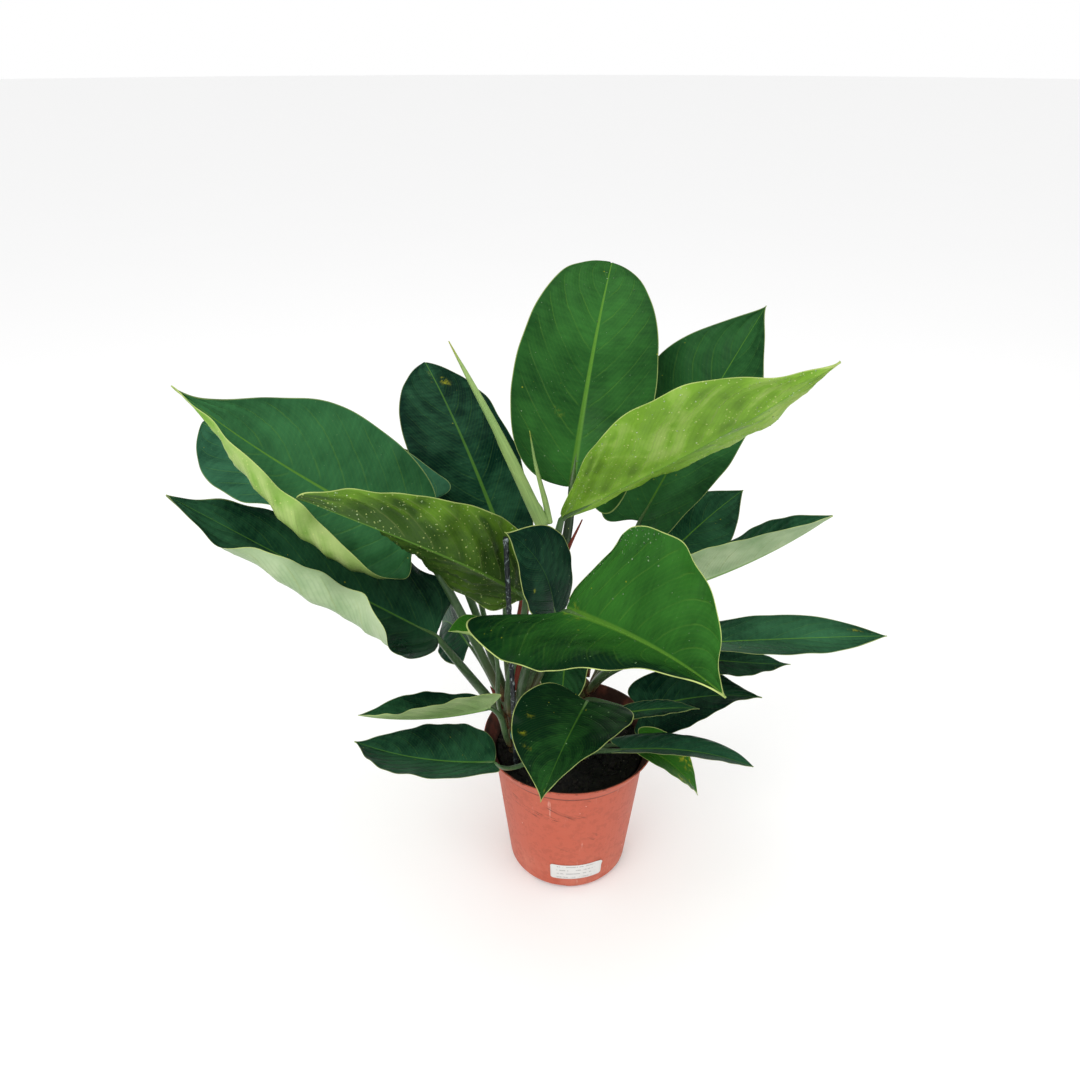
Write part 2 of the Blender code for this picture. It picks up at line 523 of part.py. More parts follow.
def build_soil(mat):
    """Potting mix: fills the pot to below the lip, level where the shoots stand and lower at the wall."""
    clear = POT_WALL + GAP
    floor = FOOT_RECESS + POT_WALL + GAP
    soil_top = MIX_LEVEL - SOIL_CROWN
    middle = (FOOT_ROUND_H + POT_HEIGHT - LIP_HEIGHT) / 2
    brim = wall_radius(soil_top) - clear - 0.0006
    profile = [
        (0.0, floor), (FOOT_R - 0.006, floor),
        (wall_radius(FOOT_ROUND_H) - clear - 0.0006, FOOT_ROUND_H + 0.0015),
        (wall_radius(middle) - clear, middle), (brim, soil_top - 0.004), (brim - 0.003, soil_top),
        (brim - 0.009, MIX_LEVEL), (0.0, MIX_LEVEL),
    ]
    return turned("soil", profile, mat, steps=48)


def build_label(mat):
    """A blank sticker that hugs the curved wall, a gap clear of it."""
    columns, rows = 10, 2
    grid = []
    for outer in (0.0, LABEL_T):
        sheet = []
        for j in range(rows + 1):
            z = LABEL_Z + LABEL_H * (j / rows - 0.5)
            radius = wall_radius(z) + GAP + outer
            for i in range(columns + 1):
                turn = math.radians(LABEL_TURN) + LABEL_W * (i / columns - 0.5) / wall_radius(LABEL_Z)
                sheet.append(Vector((radius * math.cos(turn), radius * math.sin(turn), z)))
        grid.append(sheet)
    return add_object("pot_label", sheet_solid("pot_label", grid, columns, rows), mat, smooth=False)


def sheet_solid(name, grid, columns, rows):
    """Close two like grids of points, one in front of the other, into a thin solid."""
    width = columns + 1
    size = width * (rows + 1)
    verts = grid[0] + grid[1]
    faces = []
    for j in range(rows):
        for i in range(columns):
            a = j * width + i
            faces.append((a, a + width, a + width + 1, a + 1))
            faces.append((size + a, size + a + 1, size + a + width + 1, size + a + width))
    rim = [i for i in range(width)] + [j * width + columns for j in range(1, rows + 1)]
    rim += [rows * width + i for i in reversed(range(columns))]
    rim += [j * width for j in reversed(range(1, rows))]
    for k, a in enumerate(rim):
        b = rim[(k + 1) % len(rim)]
        faces.append((a, b, size + b, size + a))
    return mesh_from(name, verts, faces)


def stake_ends():
    return Vector((*STAKE_FOOT, GAP)), Vector(STAKE_TOP)


def build_stake(mat):
    foot, top = stake_ends()
    axis = (top - foot).normalized()
    rings = [ring_at(foot.lerp(top, k / 6), axis, STAKE_R, 10, Vector((0, 1, 0))) for k in range(7)]
    verts, faces = loft(rings)
    return add_object("support_stake", mesh_from("support_stake", planted(verts), faces), mat)


def build_clip(mat):
    """A ring round the stake, with a clearance bore."""
    foot, top = stake_ends()
    axis = (top - foot).normalized()
    middle = foot.lerp(top, 0.155)
    inner = STAKE_R + GAP
    outer = inner + CLIP_T
    profile = ((inner, -0.5), (outer, -0.5), (outer, 0.5), (inner, 0.5))
    side = axis.cross(Vector((0, 1, 0))).normalized()
    up = side.cross(axis)
    steps = 24
    verts = []
    for k in range(steps):
        turn = 2 * math.pi * k / steps
        away = side * math.cos(turn) + up * math.sin(turn)
        verts += [middle + away * r + axis * (CLIP_W * h) for r, h in profile]
    faces = []
    for k in range(steps):
        a, b = 4 * k, 4 * ((k + 1) % steps)
        for i in range(4):
            j = (i + 1) % 4
            faces.append((a + i, a + j, b + j, b + i))
    return add_object("stake_clip", mesh_from("stake_clip", planted(verts), faces), mat)


# ---- assembly ----------------------------------------------------------------------------------
def main():
    terracotta = make_material("pot_plastic", TERRACOTTA, 0.45)
    peat = make_material("soil_mix", PEAT, 0.95)
    green = make_material("leaf_skin", LEAF_GREEN, 0.38)
    young = make_material("young_leaf", YOUNG_GREEN, 0.45)
    bark = make_material("stem_skin", BARK, 0.6)
    rust = make_material("sheath_skin", RUST, 0.6)
    dark = make_material("stake_plastic", STAKE_DARK, 0.4)
    teal = make_material("clip_plastic", TEAL, 0.4)
    paper = make_material("label_paper", PAPER, 0.7)

    build_pot(terracotta)
    build_soil(peat)
    build_label(paper)
    build_stem("stem_main", "A", bark)
    build_stem("stem_back", "B", bark)
    build_stem("stem_front", "C", bark)
    for leaf in LEAVES:
        build_leaf(leaf, green)
    build_spike("sheath_tall", SHEATH_TALL, SHEATH_TALL_R, rust, 1.0)
    build_spike("sheath_right", SHEATH_RIGHT, SHEATH_RIGHT_R, rust, 0.87)
    build_spike("sheath_low", SHEATH_LOW, SHEATH_LOW_R, rust, 0.81)
    build_spike("leaf_spear", SPEAR, SPEAR_R, young, 1.0)
    build_spike("spear_bract", BRACT, BRACT_R, young, 1.0)
    build_stake(dark)
    build_clip(teal)


clear_scene()
COLLECTION = bpy.data.collections.new("potted_philodendron")
bpy.context.scene.collection.children.link(COLLECTION)
main()
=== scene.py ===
"""Potted philodendron: living leaves, stalks, potting mix and a plastic nursery pot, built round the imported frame."""

import math
import random

import bmesh
import bpy
import numpy as np
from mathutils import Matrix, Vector, noise


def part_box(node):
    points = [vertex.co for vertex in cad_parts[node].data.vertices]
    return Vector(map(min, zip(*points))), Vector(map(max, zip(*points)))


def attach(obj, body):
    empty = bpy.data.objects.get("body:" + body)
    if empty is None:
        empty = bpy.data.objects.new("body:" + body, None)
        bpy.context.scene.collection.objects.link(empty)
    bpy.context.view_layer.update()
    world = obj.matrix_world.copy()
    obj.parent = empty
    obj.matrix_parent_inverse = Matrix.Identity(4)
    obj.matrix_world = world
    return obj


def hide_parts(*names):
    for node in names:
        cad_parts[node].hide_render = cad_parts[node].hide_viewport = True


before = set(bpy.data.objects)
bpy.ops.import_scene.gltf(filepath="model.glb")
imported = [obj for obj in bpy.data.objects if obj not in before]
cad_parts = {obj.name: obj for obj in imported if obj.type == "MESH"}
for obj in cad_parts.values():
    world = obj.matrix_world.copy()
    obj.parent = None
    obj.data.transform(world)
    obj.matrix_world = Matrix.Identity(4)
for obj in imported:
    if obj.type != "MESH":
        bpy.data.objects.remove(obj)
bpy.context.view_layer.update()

bl_info = {
    "name": "Potted Philodendron",
    "version": (1, 0, 0),
    "blender": (4, 5, 0),
    "location": "3D View > Sidebar > Plant",
    "description": "Grows the leaves, stalks, mix and pot finish of a potted philodendron",
    "category": "Object",
}

MIX_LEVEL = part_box("soil")[1].z          # top of the potting mix
POT_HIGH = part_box("pot")[1]
POT_HEIGHT = POT_HIGH.z
RIM_R = POT_HIGH.x
BODY_TOP_R = RIM_R - 0.0115              # the lip flares out from the body by this much
LIP_HEIGHT = 0.019
FOOT_TOP_R = 0.068                       # body radius where the straight taper starts
FOOT_ROUND_H = 0.012

# ---- leaf table --------------------------------------------------------------------------------
# Heights are above the potting mix. The shape columns are the ones the frame's own leaves are drawn with.
# at: shoot, share of the stem's height, side of the shoot the petiole leaves from (degrees)
# stalk: petiole radius half way up; via: a point the petiole passes half way up
# base: where the petiole meets the blade; head, rise: heading and upward tilt of the midrib there
# arch, sway, roll, twist: how the tilt, heading and roll run on towards the tip
# size: blade length, half width on the left and on the right
# fold, curl: lift and edge curl of the two halves; spread: how far the edge curl runs towards the ends
# lobe, widest, tip: depth of the basal lobes, place of the widest line, sharpness of the tip
LEAVES = [
    dict(name="leaf_crown_upright", stalk=0.0054, at=("A", 0.92, 66), via=(-0.018, 0.024, 0.191),
         base=(-0.003, 0.021, 0.304), head=75, rise=62, arch=48, sway=7, roll=-12, twist=0,
         size=(0.272, 0.074, 0.067), fold=(10, 7), curl=(0, -5), lobe=(0.02, 0.14), widest=0.35, tip=0.6),
    dict(name="leaf_back_right", stalk=0.0046, at=("B", 0.88, 75), via=None,
         base=(0.071, 0.089, 0.232), head=23, rise=62, arch=1, sway=-9, roll=-8, twist=-22,
         size=(0.255, 0.080, 0.080), fold=(19, 17), curl=(0, -14), lobe=(0.14, 0.11), widest=0.47, tip=1.3),
    dict(name="leaf_right_rolled", stalk=0.0050, at=("A", 0.87, 14), via=(-0.020, -0.013, 0.179),
         base=(-0.011, -0.026, 0.296), head=1, rise=30, arch=-15, sway=-27, roll=43, twist=7,
         size=(0.282, 0.072, 0.088), fold=(17, 5), curl=(30, 14), lobe=(-0.10, -0.06), widest=0.48, tip=1.9),
    dict(name="leaf_left_curled", stalk=0.0046, at=("A", 0.85, 165), via=(-0.113, -0.014, 0.179),
         base=(-0.153, -0.018, 0.264), head=182, rise=33, arch=-19, sway=27, roll=47, twist=-23,
         size=(0.258, 0.090, 0.079), fold=(6, 16), curl=(165, 9), lobe=(0.09, 0.06), widest=0.41, tip=2.0),
    dict(name="leaf_left_behind", stalk=0.0044, at=("A", 0.72, 120), via=(-0.100, 0.032, 0.137),
         base=(-0.150, 0.062, 0.261), head=177, rise=12, arch=2, sway=-29, roll=-3, twist=46,
         size=(0.284, 0.080, 0.075), fold=(17, 16), curl=(-6, -4), lobe=(0.14, 0.11), widest=0.45, tip=0.8),
    dict(name="leaf_front_left", stalk=0.0040, at=("A", 0.72, -110), via=(-0.058, -0.024, 0.131),
         base=(-0.047, -0.018, 0.202), head=235, rise=44, arch=19, sway=-52, roll=-73, twist=35,
         size=(0.264, 0.054, 0.056), fold=(30, 30), curl=(-6, 23), lobe=(0.10, 0.08), widest=0.33, tip=0.6),
    dict(name="leaf_left_low", stalk=0.0048, at=("A", 0.59, -170), via=(-0.100, -0.024, 0.099),
         base=(-0.133, -0.045, 0.170), head=192, rise=37, arch=3, sway=-10, roll=4, twist=12,
         size=(0.282, 0.112, 0.078), fold=(16, 15), curl=(180, -27), lobe=(-0.12, 0.10), widest=0.12, tip=1.2,
         spread=0.25),
    dict(name="leaf_front_upright", stalk=0.0032, at=("A", 0.90, -22), via=(-0.032, -0.030, 0.139),
         base=(-0.016, -0.061, 0.207), head=200, rise=86, arch=50, sway=5, roll=39, twist=14,
         size=(0.116, 0.044, 0.045), fold=(4, 8), curl=(-5, -12), lobe=(0.03, 0.08), widest=0.40, tip=1.6),
    dict(name="leaf_front_heart", stalk=0.0046, at=("A", 0.64, -68), via=(-0.042, -0.068, 0.156),
         base=(-0.005, -0.130, 0.260), head=-46, rise=13, arch=-5, sway=-29, roll=-33, twist=30,
         size=(0.221, 0.088, 0.084), fold=(40, 31), curl=(34, -47), lobe=(-0.11, 0.42), widest=0.36, tip=1.7),
    dict(name="leaf_low_heart", stalk=0.0030, at=("C", 0.86, -100), via=None,
         base=(0.017, -0.060, 0.106), head=-110, rise=-1, arch=29, sway=-2, roll=5, twist=-44,
         size=(0.123, 0.062, 0.060), fold=(17, 18), curl=(-9, 4), lobe=(0.04, 0.05), widest=0.33, tip=1.5),
    dict(name="leaf_low_left_folded", stalk=0.0032, at=("A", 0.15, -120), via=None,
         base=(-0.080, -0.067, 0.100), head=204, rise=0, arch=-11, sway=-22, roll=-13, twist=27,
         size=(0.131, 0.037, 0.038), fold=(59, 3), curl=(-7, 8), lobe=(0.14, 0.12), widest=0.41, tip=1.3),
    dict(name="leaf_low_left", stalk=0.0026, at=("C", 0.36, -170), via=(-0.042, -0.064, 0.027),
         base=(-0.072, -0.114, 0.072), head=172, rise=-12, arch=-8, sway=-21, roll=-7, twist=3,
         size=(0.162, 0.048, 0.050), fold=(17, 15), curl=(-1, -5), lobe=(0.14, 0.01), widest=0.36, tip=1.3),
    dict(name="leaf_back_left", stalk=0.0044, at=("A", 0.85, 112), via=None,
         base=(-0.079, 0.110, 0.195), head=127, rise=51, arch=33, sway=-10, roll=4, twist=-4,
         size=(0.254, 0.067, 0.060), fold=(0, 0), curl=(-6, -12), lobe=(0.14, 0.11), widest=0.45, tip=0.72),
    dict(name="leaf_back_left_low", stalk=0.0034, at=("A", 0.33, 115), via=(-0.092, 0.062, 0.091),
         base=(-0.116, 0.100, 0.174), head=141, rise=40, arch=10, sway=-2, roll=-16, twist=6,
         size=(0.186, 0.046, 0.045), fold=(11, 8), curl=(0, -6), lobe=(0.14, 0.14), widest=0.39, tip=1.1),
    dict(name="leaf_right_mid", stalk=0.0032, at=("B", 0.82, 20), via=None,
         base=(0.076, 0.091, 0.151), head=30, rise=41, arch=16, sway=-1, roll=-12, twist=-4,
         size=(0.160, 0.052, 0.054), fold=(10, 7), curl=(0, -2), lobe=(0.14, 0.14), widest=0.39, tip=1.2),
    dict(name="leaf_right_folded", stalk=0.0032, at=("B", 0.82, -35), via=None,
         base=(0.105, 0.017, 0.192), head=-19, rise=31, arch=-12, sway=16, roll=10, twist=-26,
         size=(0.175, 0.048, 0.048), fold=(10, 61), curl=(0, -7), lobe=(0.14, 0.14), widest=0.41, tip=1.1),
    dict(name="leaf_right_long", stalk=0.0036, at=("B", 0.59, -65), via=None,
         base=(0.089, 0.017, 0.122), head=-1, rise=6, arch=5, sway=4, roll=19, twist=-28,
         size=(0.243, 0.047, 0.047), fold=(6, 11), curl=(-4, 2), lobe=(0.14, 0.14), widest=0.44, tip=1.2),
    dict(name="leaf_right_short", stalk=0.0028, at=("B", 0.47, -5), via=None,
         base=(0.109, 0.045, 0.090), head=1, rise=-9, arch=-6, sway=5, roll=3, twist=0,
         size=(0.138, 0.034, 0.034), fold=(7, 7), curl=(-1, -6), lobe=(0.14, 0.14), widest=0.38, tip=1.4),
    dict(name="leaf_right_low", stalk=0.0028, at=("B", 0.18, -90), via=None,
         base=(0.080, 0.034, 0.019), head=0, rise=25, arch=18, sway=-19, roll=-17, twist=35,
         size=(0.138, 0.048, 0.050), fold=(9, 5), curl=(0, -12), lobe=(0.13, 0.14), widest=0.37, tip=1.5),
    dict(name="leaf_right_slip", stalk=0.0018, at=("C", 0.86, 10), via=None,
         base=(0.057, -0.040, 0.076), head=-6, rise=18, arch=14, sway=-2, roll=2, twist=9,
         size=(0.077, 0.016, 0.016), fold=(6, 7), curl=(-1, 0), lobe=(0.14, 0.14), widest=0.38, tip=1.3),
    dict(name="leaf_low_right", stalk=0.0028, at=("C", 0.36, -45), via=None,
         base=(0.054, -0.066, 0.049), head=0, rise=8, arch=23, sway=-12, roll=20, twist=-8,
         size=(0.134, 0.035, 0.035), fold=(13, 17), curl=(-38, -3), lobe=(0.15, 0.14), widest=0.35, tip=0.9),
    dict(name="leaf_hanging_right", stalk=0.0022, at=("C", 0.21, 0), via=(0.043, -0.030, 0.023),
         base=(0.074, -0.040, 0.034), head=-15, rise=-20, arch=43, sway=0, roll=2, twist=9,
         size=(0.087, 0.032, 0.032), fold=(18, 18), curl=(5, 4), lobe=(0.14, 0.14), widest=0.38, tip=1.3),
    dict(name="leaf_inner_left", stalk=0.0024, at=("A", 0.38, 145), via=(-0.088, 0.012, 0.077),
         base=(-0.108, 0.004, 0.126), head=123, rise=9, arch=52, sway=-7, roll=69, twist=-4,
         size=(0.084, 0.037, 0.037), fold=(11, 21), curl=(0, 2), lobe=(0.14, 0.14), widest=0.40, tip=1.2),
    dict(name="leaf_inner_front", stalk=0.0024, at=("A", 0.44, -140), via=None,
         base=(-0.078, -0.083, 0.194), head=191, rise=31, arch=19, sway=6, roll=-6, twist=-7,
         size=(0.040, 0.026, 0.026), fold=(24, 22), curl=(7, 6), lobe=(0.14, 0.14), widest=0.39, tip=1.2),
    dict(name="leaf_inner_middle", stalk=0.0024, at=("B", 0.40, 190), via=None,
         base=(-0.004, 0.036, 0.108), head=-98, rise=-34, arch=34, sway=4, roll=-6, twist=0,
         size=(0.074, 0.027, 0.027), fold=(12, 10), curl=(0, -4), lobe=(0.14, 0.14), widest=0.40, tip=0.9),
]

# ---- leaf looks --------------------------------------------------------------------------------
# tone: how light the upper face is; under: how light the underside is; warm: how yellow the underside is
# quilt: height of the swellings between the side veins; ripple: height of the waves along the margin, in metres
# rib: width of the pale midrib against the usual one; edge: how pale the margin is; dark: how dark the petiole is
# sun: how far the green leans from bluish to yellowish
# painted_light_swing: painted light and shade, how much lighter the left half is than the right, as one half faces the
# light and the other lies in shade; dew: patches of droplets (from, to, side, side, count)
# marks: yellowed spots (share of length, share of half width, radius as a share of length, strength)
PLAIN = dict(tone=0.34, under=0.45, warm=0.35, quilt=0.0013, ripple=0.0016, rib=1.0, edge=0.35,
             dark=0.35, sun=0.10, painted_light_swing=0.0, dew=(), marks=())
LOOKS = {
    "leaf_crown_upright": dict(tone=0.52, sun=0.8, rib=1.9, edge=0.5, dark=0.85, quilt=0.0012,
                               dew=((0.10, 0.9, -0.9, 0.9, 60),),
                               marks=((0.30, 0.35, 0.010, 0.6), (0.52, -0.4, 0.008, 0.6), (0.2, -0.62, 0.008, 0.5))),
    "leaf_back_right": dict(tone=0.50, sun=0.6, dark=0.6, quilt=0.0014),
    "leaf_right_rolled": dict(tone=0.55, sun=0.7, under=0.74, warm=0.95, dark=0.6, quilt=0.0036, ripple=0.0026,
                              dew=((0.06, 0.9, -0.92, 0.9, 260),)),
    "leaf_left_curled": dict(tone=0.66, sun=0.4, under=1.15, warm=0.75, quilt=0.0028, ripple=0.0030, rib=1.3),
    "leaf_left_behind": dict(tone=0.62, sun=0, quilt=0.0016),
    "leaf_front_left": dict(tone=0.4, sun=1, under=-0.04, painted_light_swing=0.38, warm=1.0, edge=0.9, quilt=0.0048, ripple=0.0026,
                            dew=((0.08, 0.9, -0.9, 0.9, 260),)),
    "leaf_left_low": dict(tone=0.20, sun=0.15, under=1.10, warm=0.0, quilt=0.0018, ripple=0.0060),
    "leaf_front_upright": dict(tone=-0.15, sun=0.1, dark=0.6, under=0.5, edge=0.8, quilt=0.0005, rib=0.3,
                               dew=((0.10, 0.5, -0.7, 0.7, 12),),
                               marks=((0.50, 0.60, 0.016, 0.7),)),
    "leaf_front_heart": dict(tone=0.54, sun=0.9, dark=0.6, edge=1.0, painted_light_swing=0.42, under=0.85, warm=0.5, rib=2.6,
                             quilt=0.0014, ripple=0.0022,
                             dew=((0.02, 0.45, 0.62, 0.97, 110), (0.10, 0.9, -0.8, 0.8, 50)),
                             marks=((0.05, 0.0, 0.05, 0.55), (0.14, -0.03, 0.03, 0.35))),
    "leaf_low_heart": dict(tone=0.04, sun=0.8, rib=0.8, edge=0.8, quilt=0.0005, dew=((0.1, 0.9, -0.8, 0.8, 24),),
                           marks=((0.38, -0.75, 0.018, 0.5), (0.52, -0.8, 0.018, 0.5), (0.62, -0.72, 0.02, 0.5),
                                      (0.96, 0.0, 0.05, 0.8))),
    "leaf_low_left_folded": dict(tone=0.18, sun=0.2, under=1.25, warm=0.35, quilt=0.0015, ripple=0.0024),
    "leaf_low_left": dict(tone=0.22, sun=0.15),
    "leaf_back_left": dict(tone=0.14, rib=1.6, marks=((0.86, -0.30, 0.035, 0.7), (0.90, 0.10, 0.03, 0.5))),
    "leaf_back_left_low": dict(tone=0.20),
    "leaf_right_mid": dict(tone=0.30, sun=0.15),
    "leaf_right_folded": dict(tone=0.30, under=0.98, warm=0.0, quilt=0.0016),
    "leaf_right_long": dict(tone=0.48, sun=0.15, edge=0.6, ripple=0.0005, quilt=0.0008,
                            marks=((0.88, 0.55, 0.03, 0.8),)),
    "leaf_right_short": dict(tone=0.20),
    "leaf_right_low": dict(tone=0.14),
    "leaf_right_slip": dict(tone=0.30),
    "leaf_low_right": dict(tone=0.32, sun=0, under=0.5, warm=0.1, ripple=0.0008),
    "leaf_hanging_right": dict(tone=0.95, sun=1, edge=0.9, under=0.9, warm=0.7,
                               marks=((0.60, -0.7, 0.12, 0.9), (0.62, 0.7, 0.12, 0.9), (0.8, 0.0, 0.05, 0.8))),
    "leaf_inner_left": dict(tone=0.20, under=0.5, warm=0.4),
    "leaf_inner_front": dict(tone=0.85, sun=1, under=0.9, warm=0.8),
    "leaf_inner_middle": dict(tone=0.32, sun=0.5, edge=0.8),
}

STALK_SHAPE = (0.72, 0.95, 1.05, 1.0, 0.95, 0.85, 0.62)   # petiole radius from foot to blade, as shares
SHOOTS = {                   # place, radius and height of each short stem
    "A": (-0.060, -0.014, 0.0070, 0.078),
    "B": (0.016, 0.070, 0.0070, 0.034),
    "C": (0.012, -0.027, 0.0045, 0.014),
}
STEM_NODES = {"A": "stem_main", "B": "stem_back", "C": "stem_front"}
SPEAR = [(-0.0305, -0.001, 0.2735), (-0.040, 0.0, 0.296), (-0.057, 0.0, 0.336), (-0.076, 0.0, 0.378),
         (-0.096, 0.0, 0.419), (-0.113, 0.0, 0.454)]
SPEAR_R = [0.0070, 0.0068, 0.0055, 0.0040, 0.0024, 0.0005]
BRACT = [(-0.0235, 0.002, 0.2745), (-0.028, 0.006, 0.296), (-0.037, 0.010, 0.331), (-0.043, 0.010, 0.367)]
BRACT_R = [0.0046, 0.0040, 0.0024, 0.0004]
SHEATHS = {                  # line and half width of each old leaf sheath
    "sheath_tall": ([(-0.0585, -0.010, 0.0805), (-0.0560, 0.002, 0.124), (-0.0505, 0.014, 0.167),
                     (-0.0420, 0.020, 0.215), (-0.0305, 0.008, 0.271)], [0.0066, 0.0068, 0.0060, 0.0048, 0.0036]),
    "sheath_right": ([(-0.042, -0.005, 0.103), (-0.028, -0.002, 0.147), (-0.016, -0.003, 0.197),
                      (-0.008, -0.007, 0.242), (0.008, -0.017, 0.289)], [0.0022, 0.0030, 0.0030, 0.0024, 0.0006]),
    "sheath_low": ([(-0.0725, -0.022, 0.063), (-0.0765, -0.027, 0.077), (-0.079, -0.030, 0.089),
                    (-0.083, -0.031, 0.099)], [0.0018, 0.0026, 0.0022, 0.0005]),
}
STAKE_FOOT, STAKE_TOP = (-0.057, -0.040, 0.0003), (-0.061, -0.062, 0.292)
STAKE_R, CLIP_R, CLIP_W, CLIP_AT = 0.0026, 0.0046, 0.007, 0.155


# ---- colours that no setting changes ------------------------------------------------------------
WASHED_GREEN = (0.50, 0.60, 0.37, 1)
DARK_STALK = (0.010, 0.018, 0.011, 1)
STRAW = (0.42, 0.16, 0.09, 1)
OLD_SHEATH = (0.07, 0.022, 0.014, 1)
LEAF_SCAR = (0.04, 0.025, 0.014, 1)
CORK = (0.22, 0.17, 0.09, 1)
FIBRE = (0.060, 0.050, 0.040, 1)
GRIT = (0.32, 0.28, 0.22, 1)
SCRATCH = (0.86, 0.56, 0.46, 1)
CHIP = (0.88, 0.66, 0.56, 1)
SOILED_PAPER = (0.62, 0.60, 0.56, 1)
GREY_RULE = (0.10, 0.10, 0.11, 1)
CHALK_FLECK = (0.55, 0.60, 0.58, 1)
PEAT_DUST = (0.05, 0.045, 0.035, 1)
FLOOR_SHADE, FLOOR_GLOW, BLACK = (0.80, 0.80, 0.80, 1), (0.12, 0.12, 0.12, 1), (0, 0, 0, 1)
DEW_DIM = (0.012, 0.060, 0.014, 1), (0.16, 0.30, 0.09, 1)   # dark parts of a drop: on an upper face, on an underside
DEW_PAINTED_GLINT = (0.20, 0.34, 0.16, 1), (0.52, 0.64, 0.34, 1)     # pale parts of a drop, painted glints of light in the water, likewise

# ---- fineness of the meshes --------------------------------------------------------------------
BLADE_ROWS, BLADE_HALF_COLUMNS = 88, 14
MIDRIB_STEPS = 60
CURL_STEPS = 12                          # straight steps that the curl across a blade is added up from
PETIOLE_SIDES, STEM_SIDES, SPEAR_SIDES, STAKE_SIDES = 20, 28, 32, 20
DROP_RINGS, DROP_SIDES = 4, 9
SHEATH_ROWS, SHEATH_POINTS, SHEATH_WRAP = 36, 15, 118           # wrap: half the turn a sheath takes, in degrees
MIX_RINGS, MIX_TURNS = 46, 150

# ---- small shapes ------------------------------------------------------------------------------
FIT_SLACK = 0.010                        # how far a fine piece may stand outside its plain solid's box
DROP_R, DROP_R_SPREAD = 0.00036, 0.0006  # smallest drop, and how much larger a big one is
SHEATH_T = 0.0005                        # thickness of an old sheath
STICKER_W, STICKER_CORNER, STICKER_T = 0.057, 0.0022, 0.0003
CLIP_BEVEL, CLIP_FLARE, CLIP_TURN = 0.0005, 0.0010, 150         # turn: half the turn the clip takes, in degrees
FLOOR_R = 30.0


# ---- settings shown in the sidebar -------------------------------------------------------------
def colour(name, words, value):
    return bpy.props.FloatVectorProperty(name=name, description=words, subtype="COLOR", size=4, min=0, max=1,
                                         default=(*value, 1.0))


def number(name, words, value, **more):
    return bpy.props.FloatProperty(name=name, description=words, default=value, **more)


def length(name, words, value):
    return number(name, words, value, min=0, unit="LENGTH", precision=5)


def whole(name, words, value, least):
    return bpy.props.IntProperty(name=name, description=words, default=value, min=least)


class PHILO_PG_leaf(bpy.types.PropertyGroup):
    blade: length("Blade thickness", "Thickness of the leaf blade between midrib and margin", 0.0008)
    rib: length("Midrib depth", "How far the midrib stands out under the blade", 0.0022)
    rib_width: length("Midrib line", "Width of the pale midrib line at the foot of a blade", 0.0046)
    margin: length("Margin line", "Width of the pale line along the margin", 0.0010)
    veins: whole("Side veins", "Main side veins on each half", 9, 3)
    sweep: number("Vein sweep", "How far forward a side vein runs, as a share of the blade", 0.30, min=0,
                  subtype="FACTOR")
    deep: colour("Deep green", "Darkest green of the upper face", (0.0012, 0.0190, 0.0115))
    bright: colour("Bright green", "Lightest green of the upper face", (0.0380, 0.175, 0.0150))
    olive: colour("Deep sunlit green", "Darkest green of a leaf grown in the sun", (0.0030, 0.0210, 0.0060))
    shady: colour("Bluish green", "Lightest green of a leaf grown in shade", (0.0450, 0.175, 0.0850))
    cool: colour("Cool underside", "Grey-green of an underside", (0.220, 0.350, 0.165))
    sunny: colour("Warm underside", "Yellow-green of an underside", (0.205, 0.415, 0.024))
    line: colour("Midrib and veins", "Yellow-green of midrib and side veins", (0.130, 0.290, 0.035))
    cream: colour("Margin", "Cream of the thin margin", (0.520, 0.620, 0.200))
    yellow: colour("Yellowing", "Colour of an ageing patch", (0.420, 0.420, 0.020))
    stalk: colour("Petiole", "Green of the leaf stalks", (0.120, 0.230, 0.090))
    young: colour("New leaf", "Pale green of the rolled new leaf", (0.330, 0.520, 0.160))


class PHILO_PG_pot(bpy.types.PropertyGroup):
    body: colour("Pot", "Terracotta colour of the pot's plastic", (0.560, 0.112, 0.062))
    bleached: colour("Faded", "Colour of the faded and rubbed plastic", (0.700, 0.270, 0.185))
    # the soiling colour also paints the shade on the inside wall of the pot
    soiling_and_shade: colour("Soiling", "Colour of the peat stain on the rim", (0.050, 0.020, 0.014))
    paper: colour("Sticker", "Colour of the blank sticker", (0.800, 0.800, 0.780))
    stake: colour("Stake", "Dark coating of the support stake", (0.012, 0.018, 0.022))
    chalk: colour("Chalk marks", "Pale mottling on the stake", (0.330, 0.400, 0.400))
    clip: colour("Clip", "Teal of the clip", (0.010, 0.130, 0.120))


class PHILO_PG_mix(bpy.types.PropertyGroup):
    peat: colour("Peat", "Colour of the damp peat", (0.0060, 0.0062, 0.0068))
    bark: colour("Bark", "Colour of the bark bits", (0.024, 0.019, 0.016))
    crumbs: whole("Crumbs", "Loose crumbs on the mix", 620, 0)
    crumb: length("Crumb size", "Radius of a common crumb", 0.0019)
    rust: colour("Sheath", "Red-brown of the old leaf sheaths", (0.230, 0.035, 0.022))
    stem: colour("Stem", "Green-brown of the short stems", (0.105, 0.115, 0.040))


class PHILO_PG_stage(bpy.types.PropertyGroup):
    floor: colour("Floor", "Colour of the plain floor", (0.90, 0.90, 0.90))
    lens: number("Lens", "Focal length on a 36 mm sensor", 30.0)
    eye: bpy.props.FloatVectorProperty(name="Camera", description="Where the camera stands", unit="LENGTH",
                                       default=(0.0, -0.772, 0.842), subtype="TRANSLATION")
    tilt: number("Tilt", "How far the camera looks down", math.radians(28.9), subtype="ANGLE")
    turn: number("Turn", "How far the camera is turned to the left", math.radians(2.43), subtype="ANGLE")
    key: number("Key light", "Power of the main soft light", 17.0, unit="POWER")
    fill: number("Fill light", "Power of the fill light", 4.0, unit="POWER")


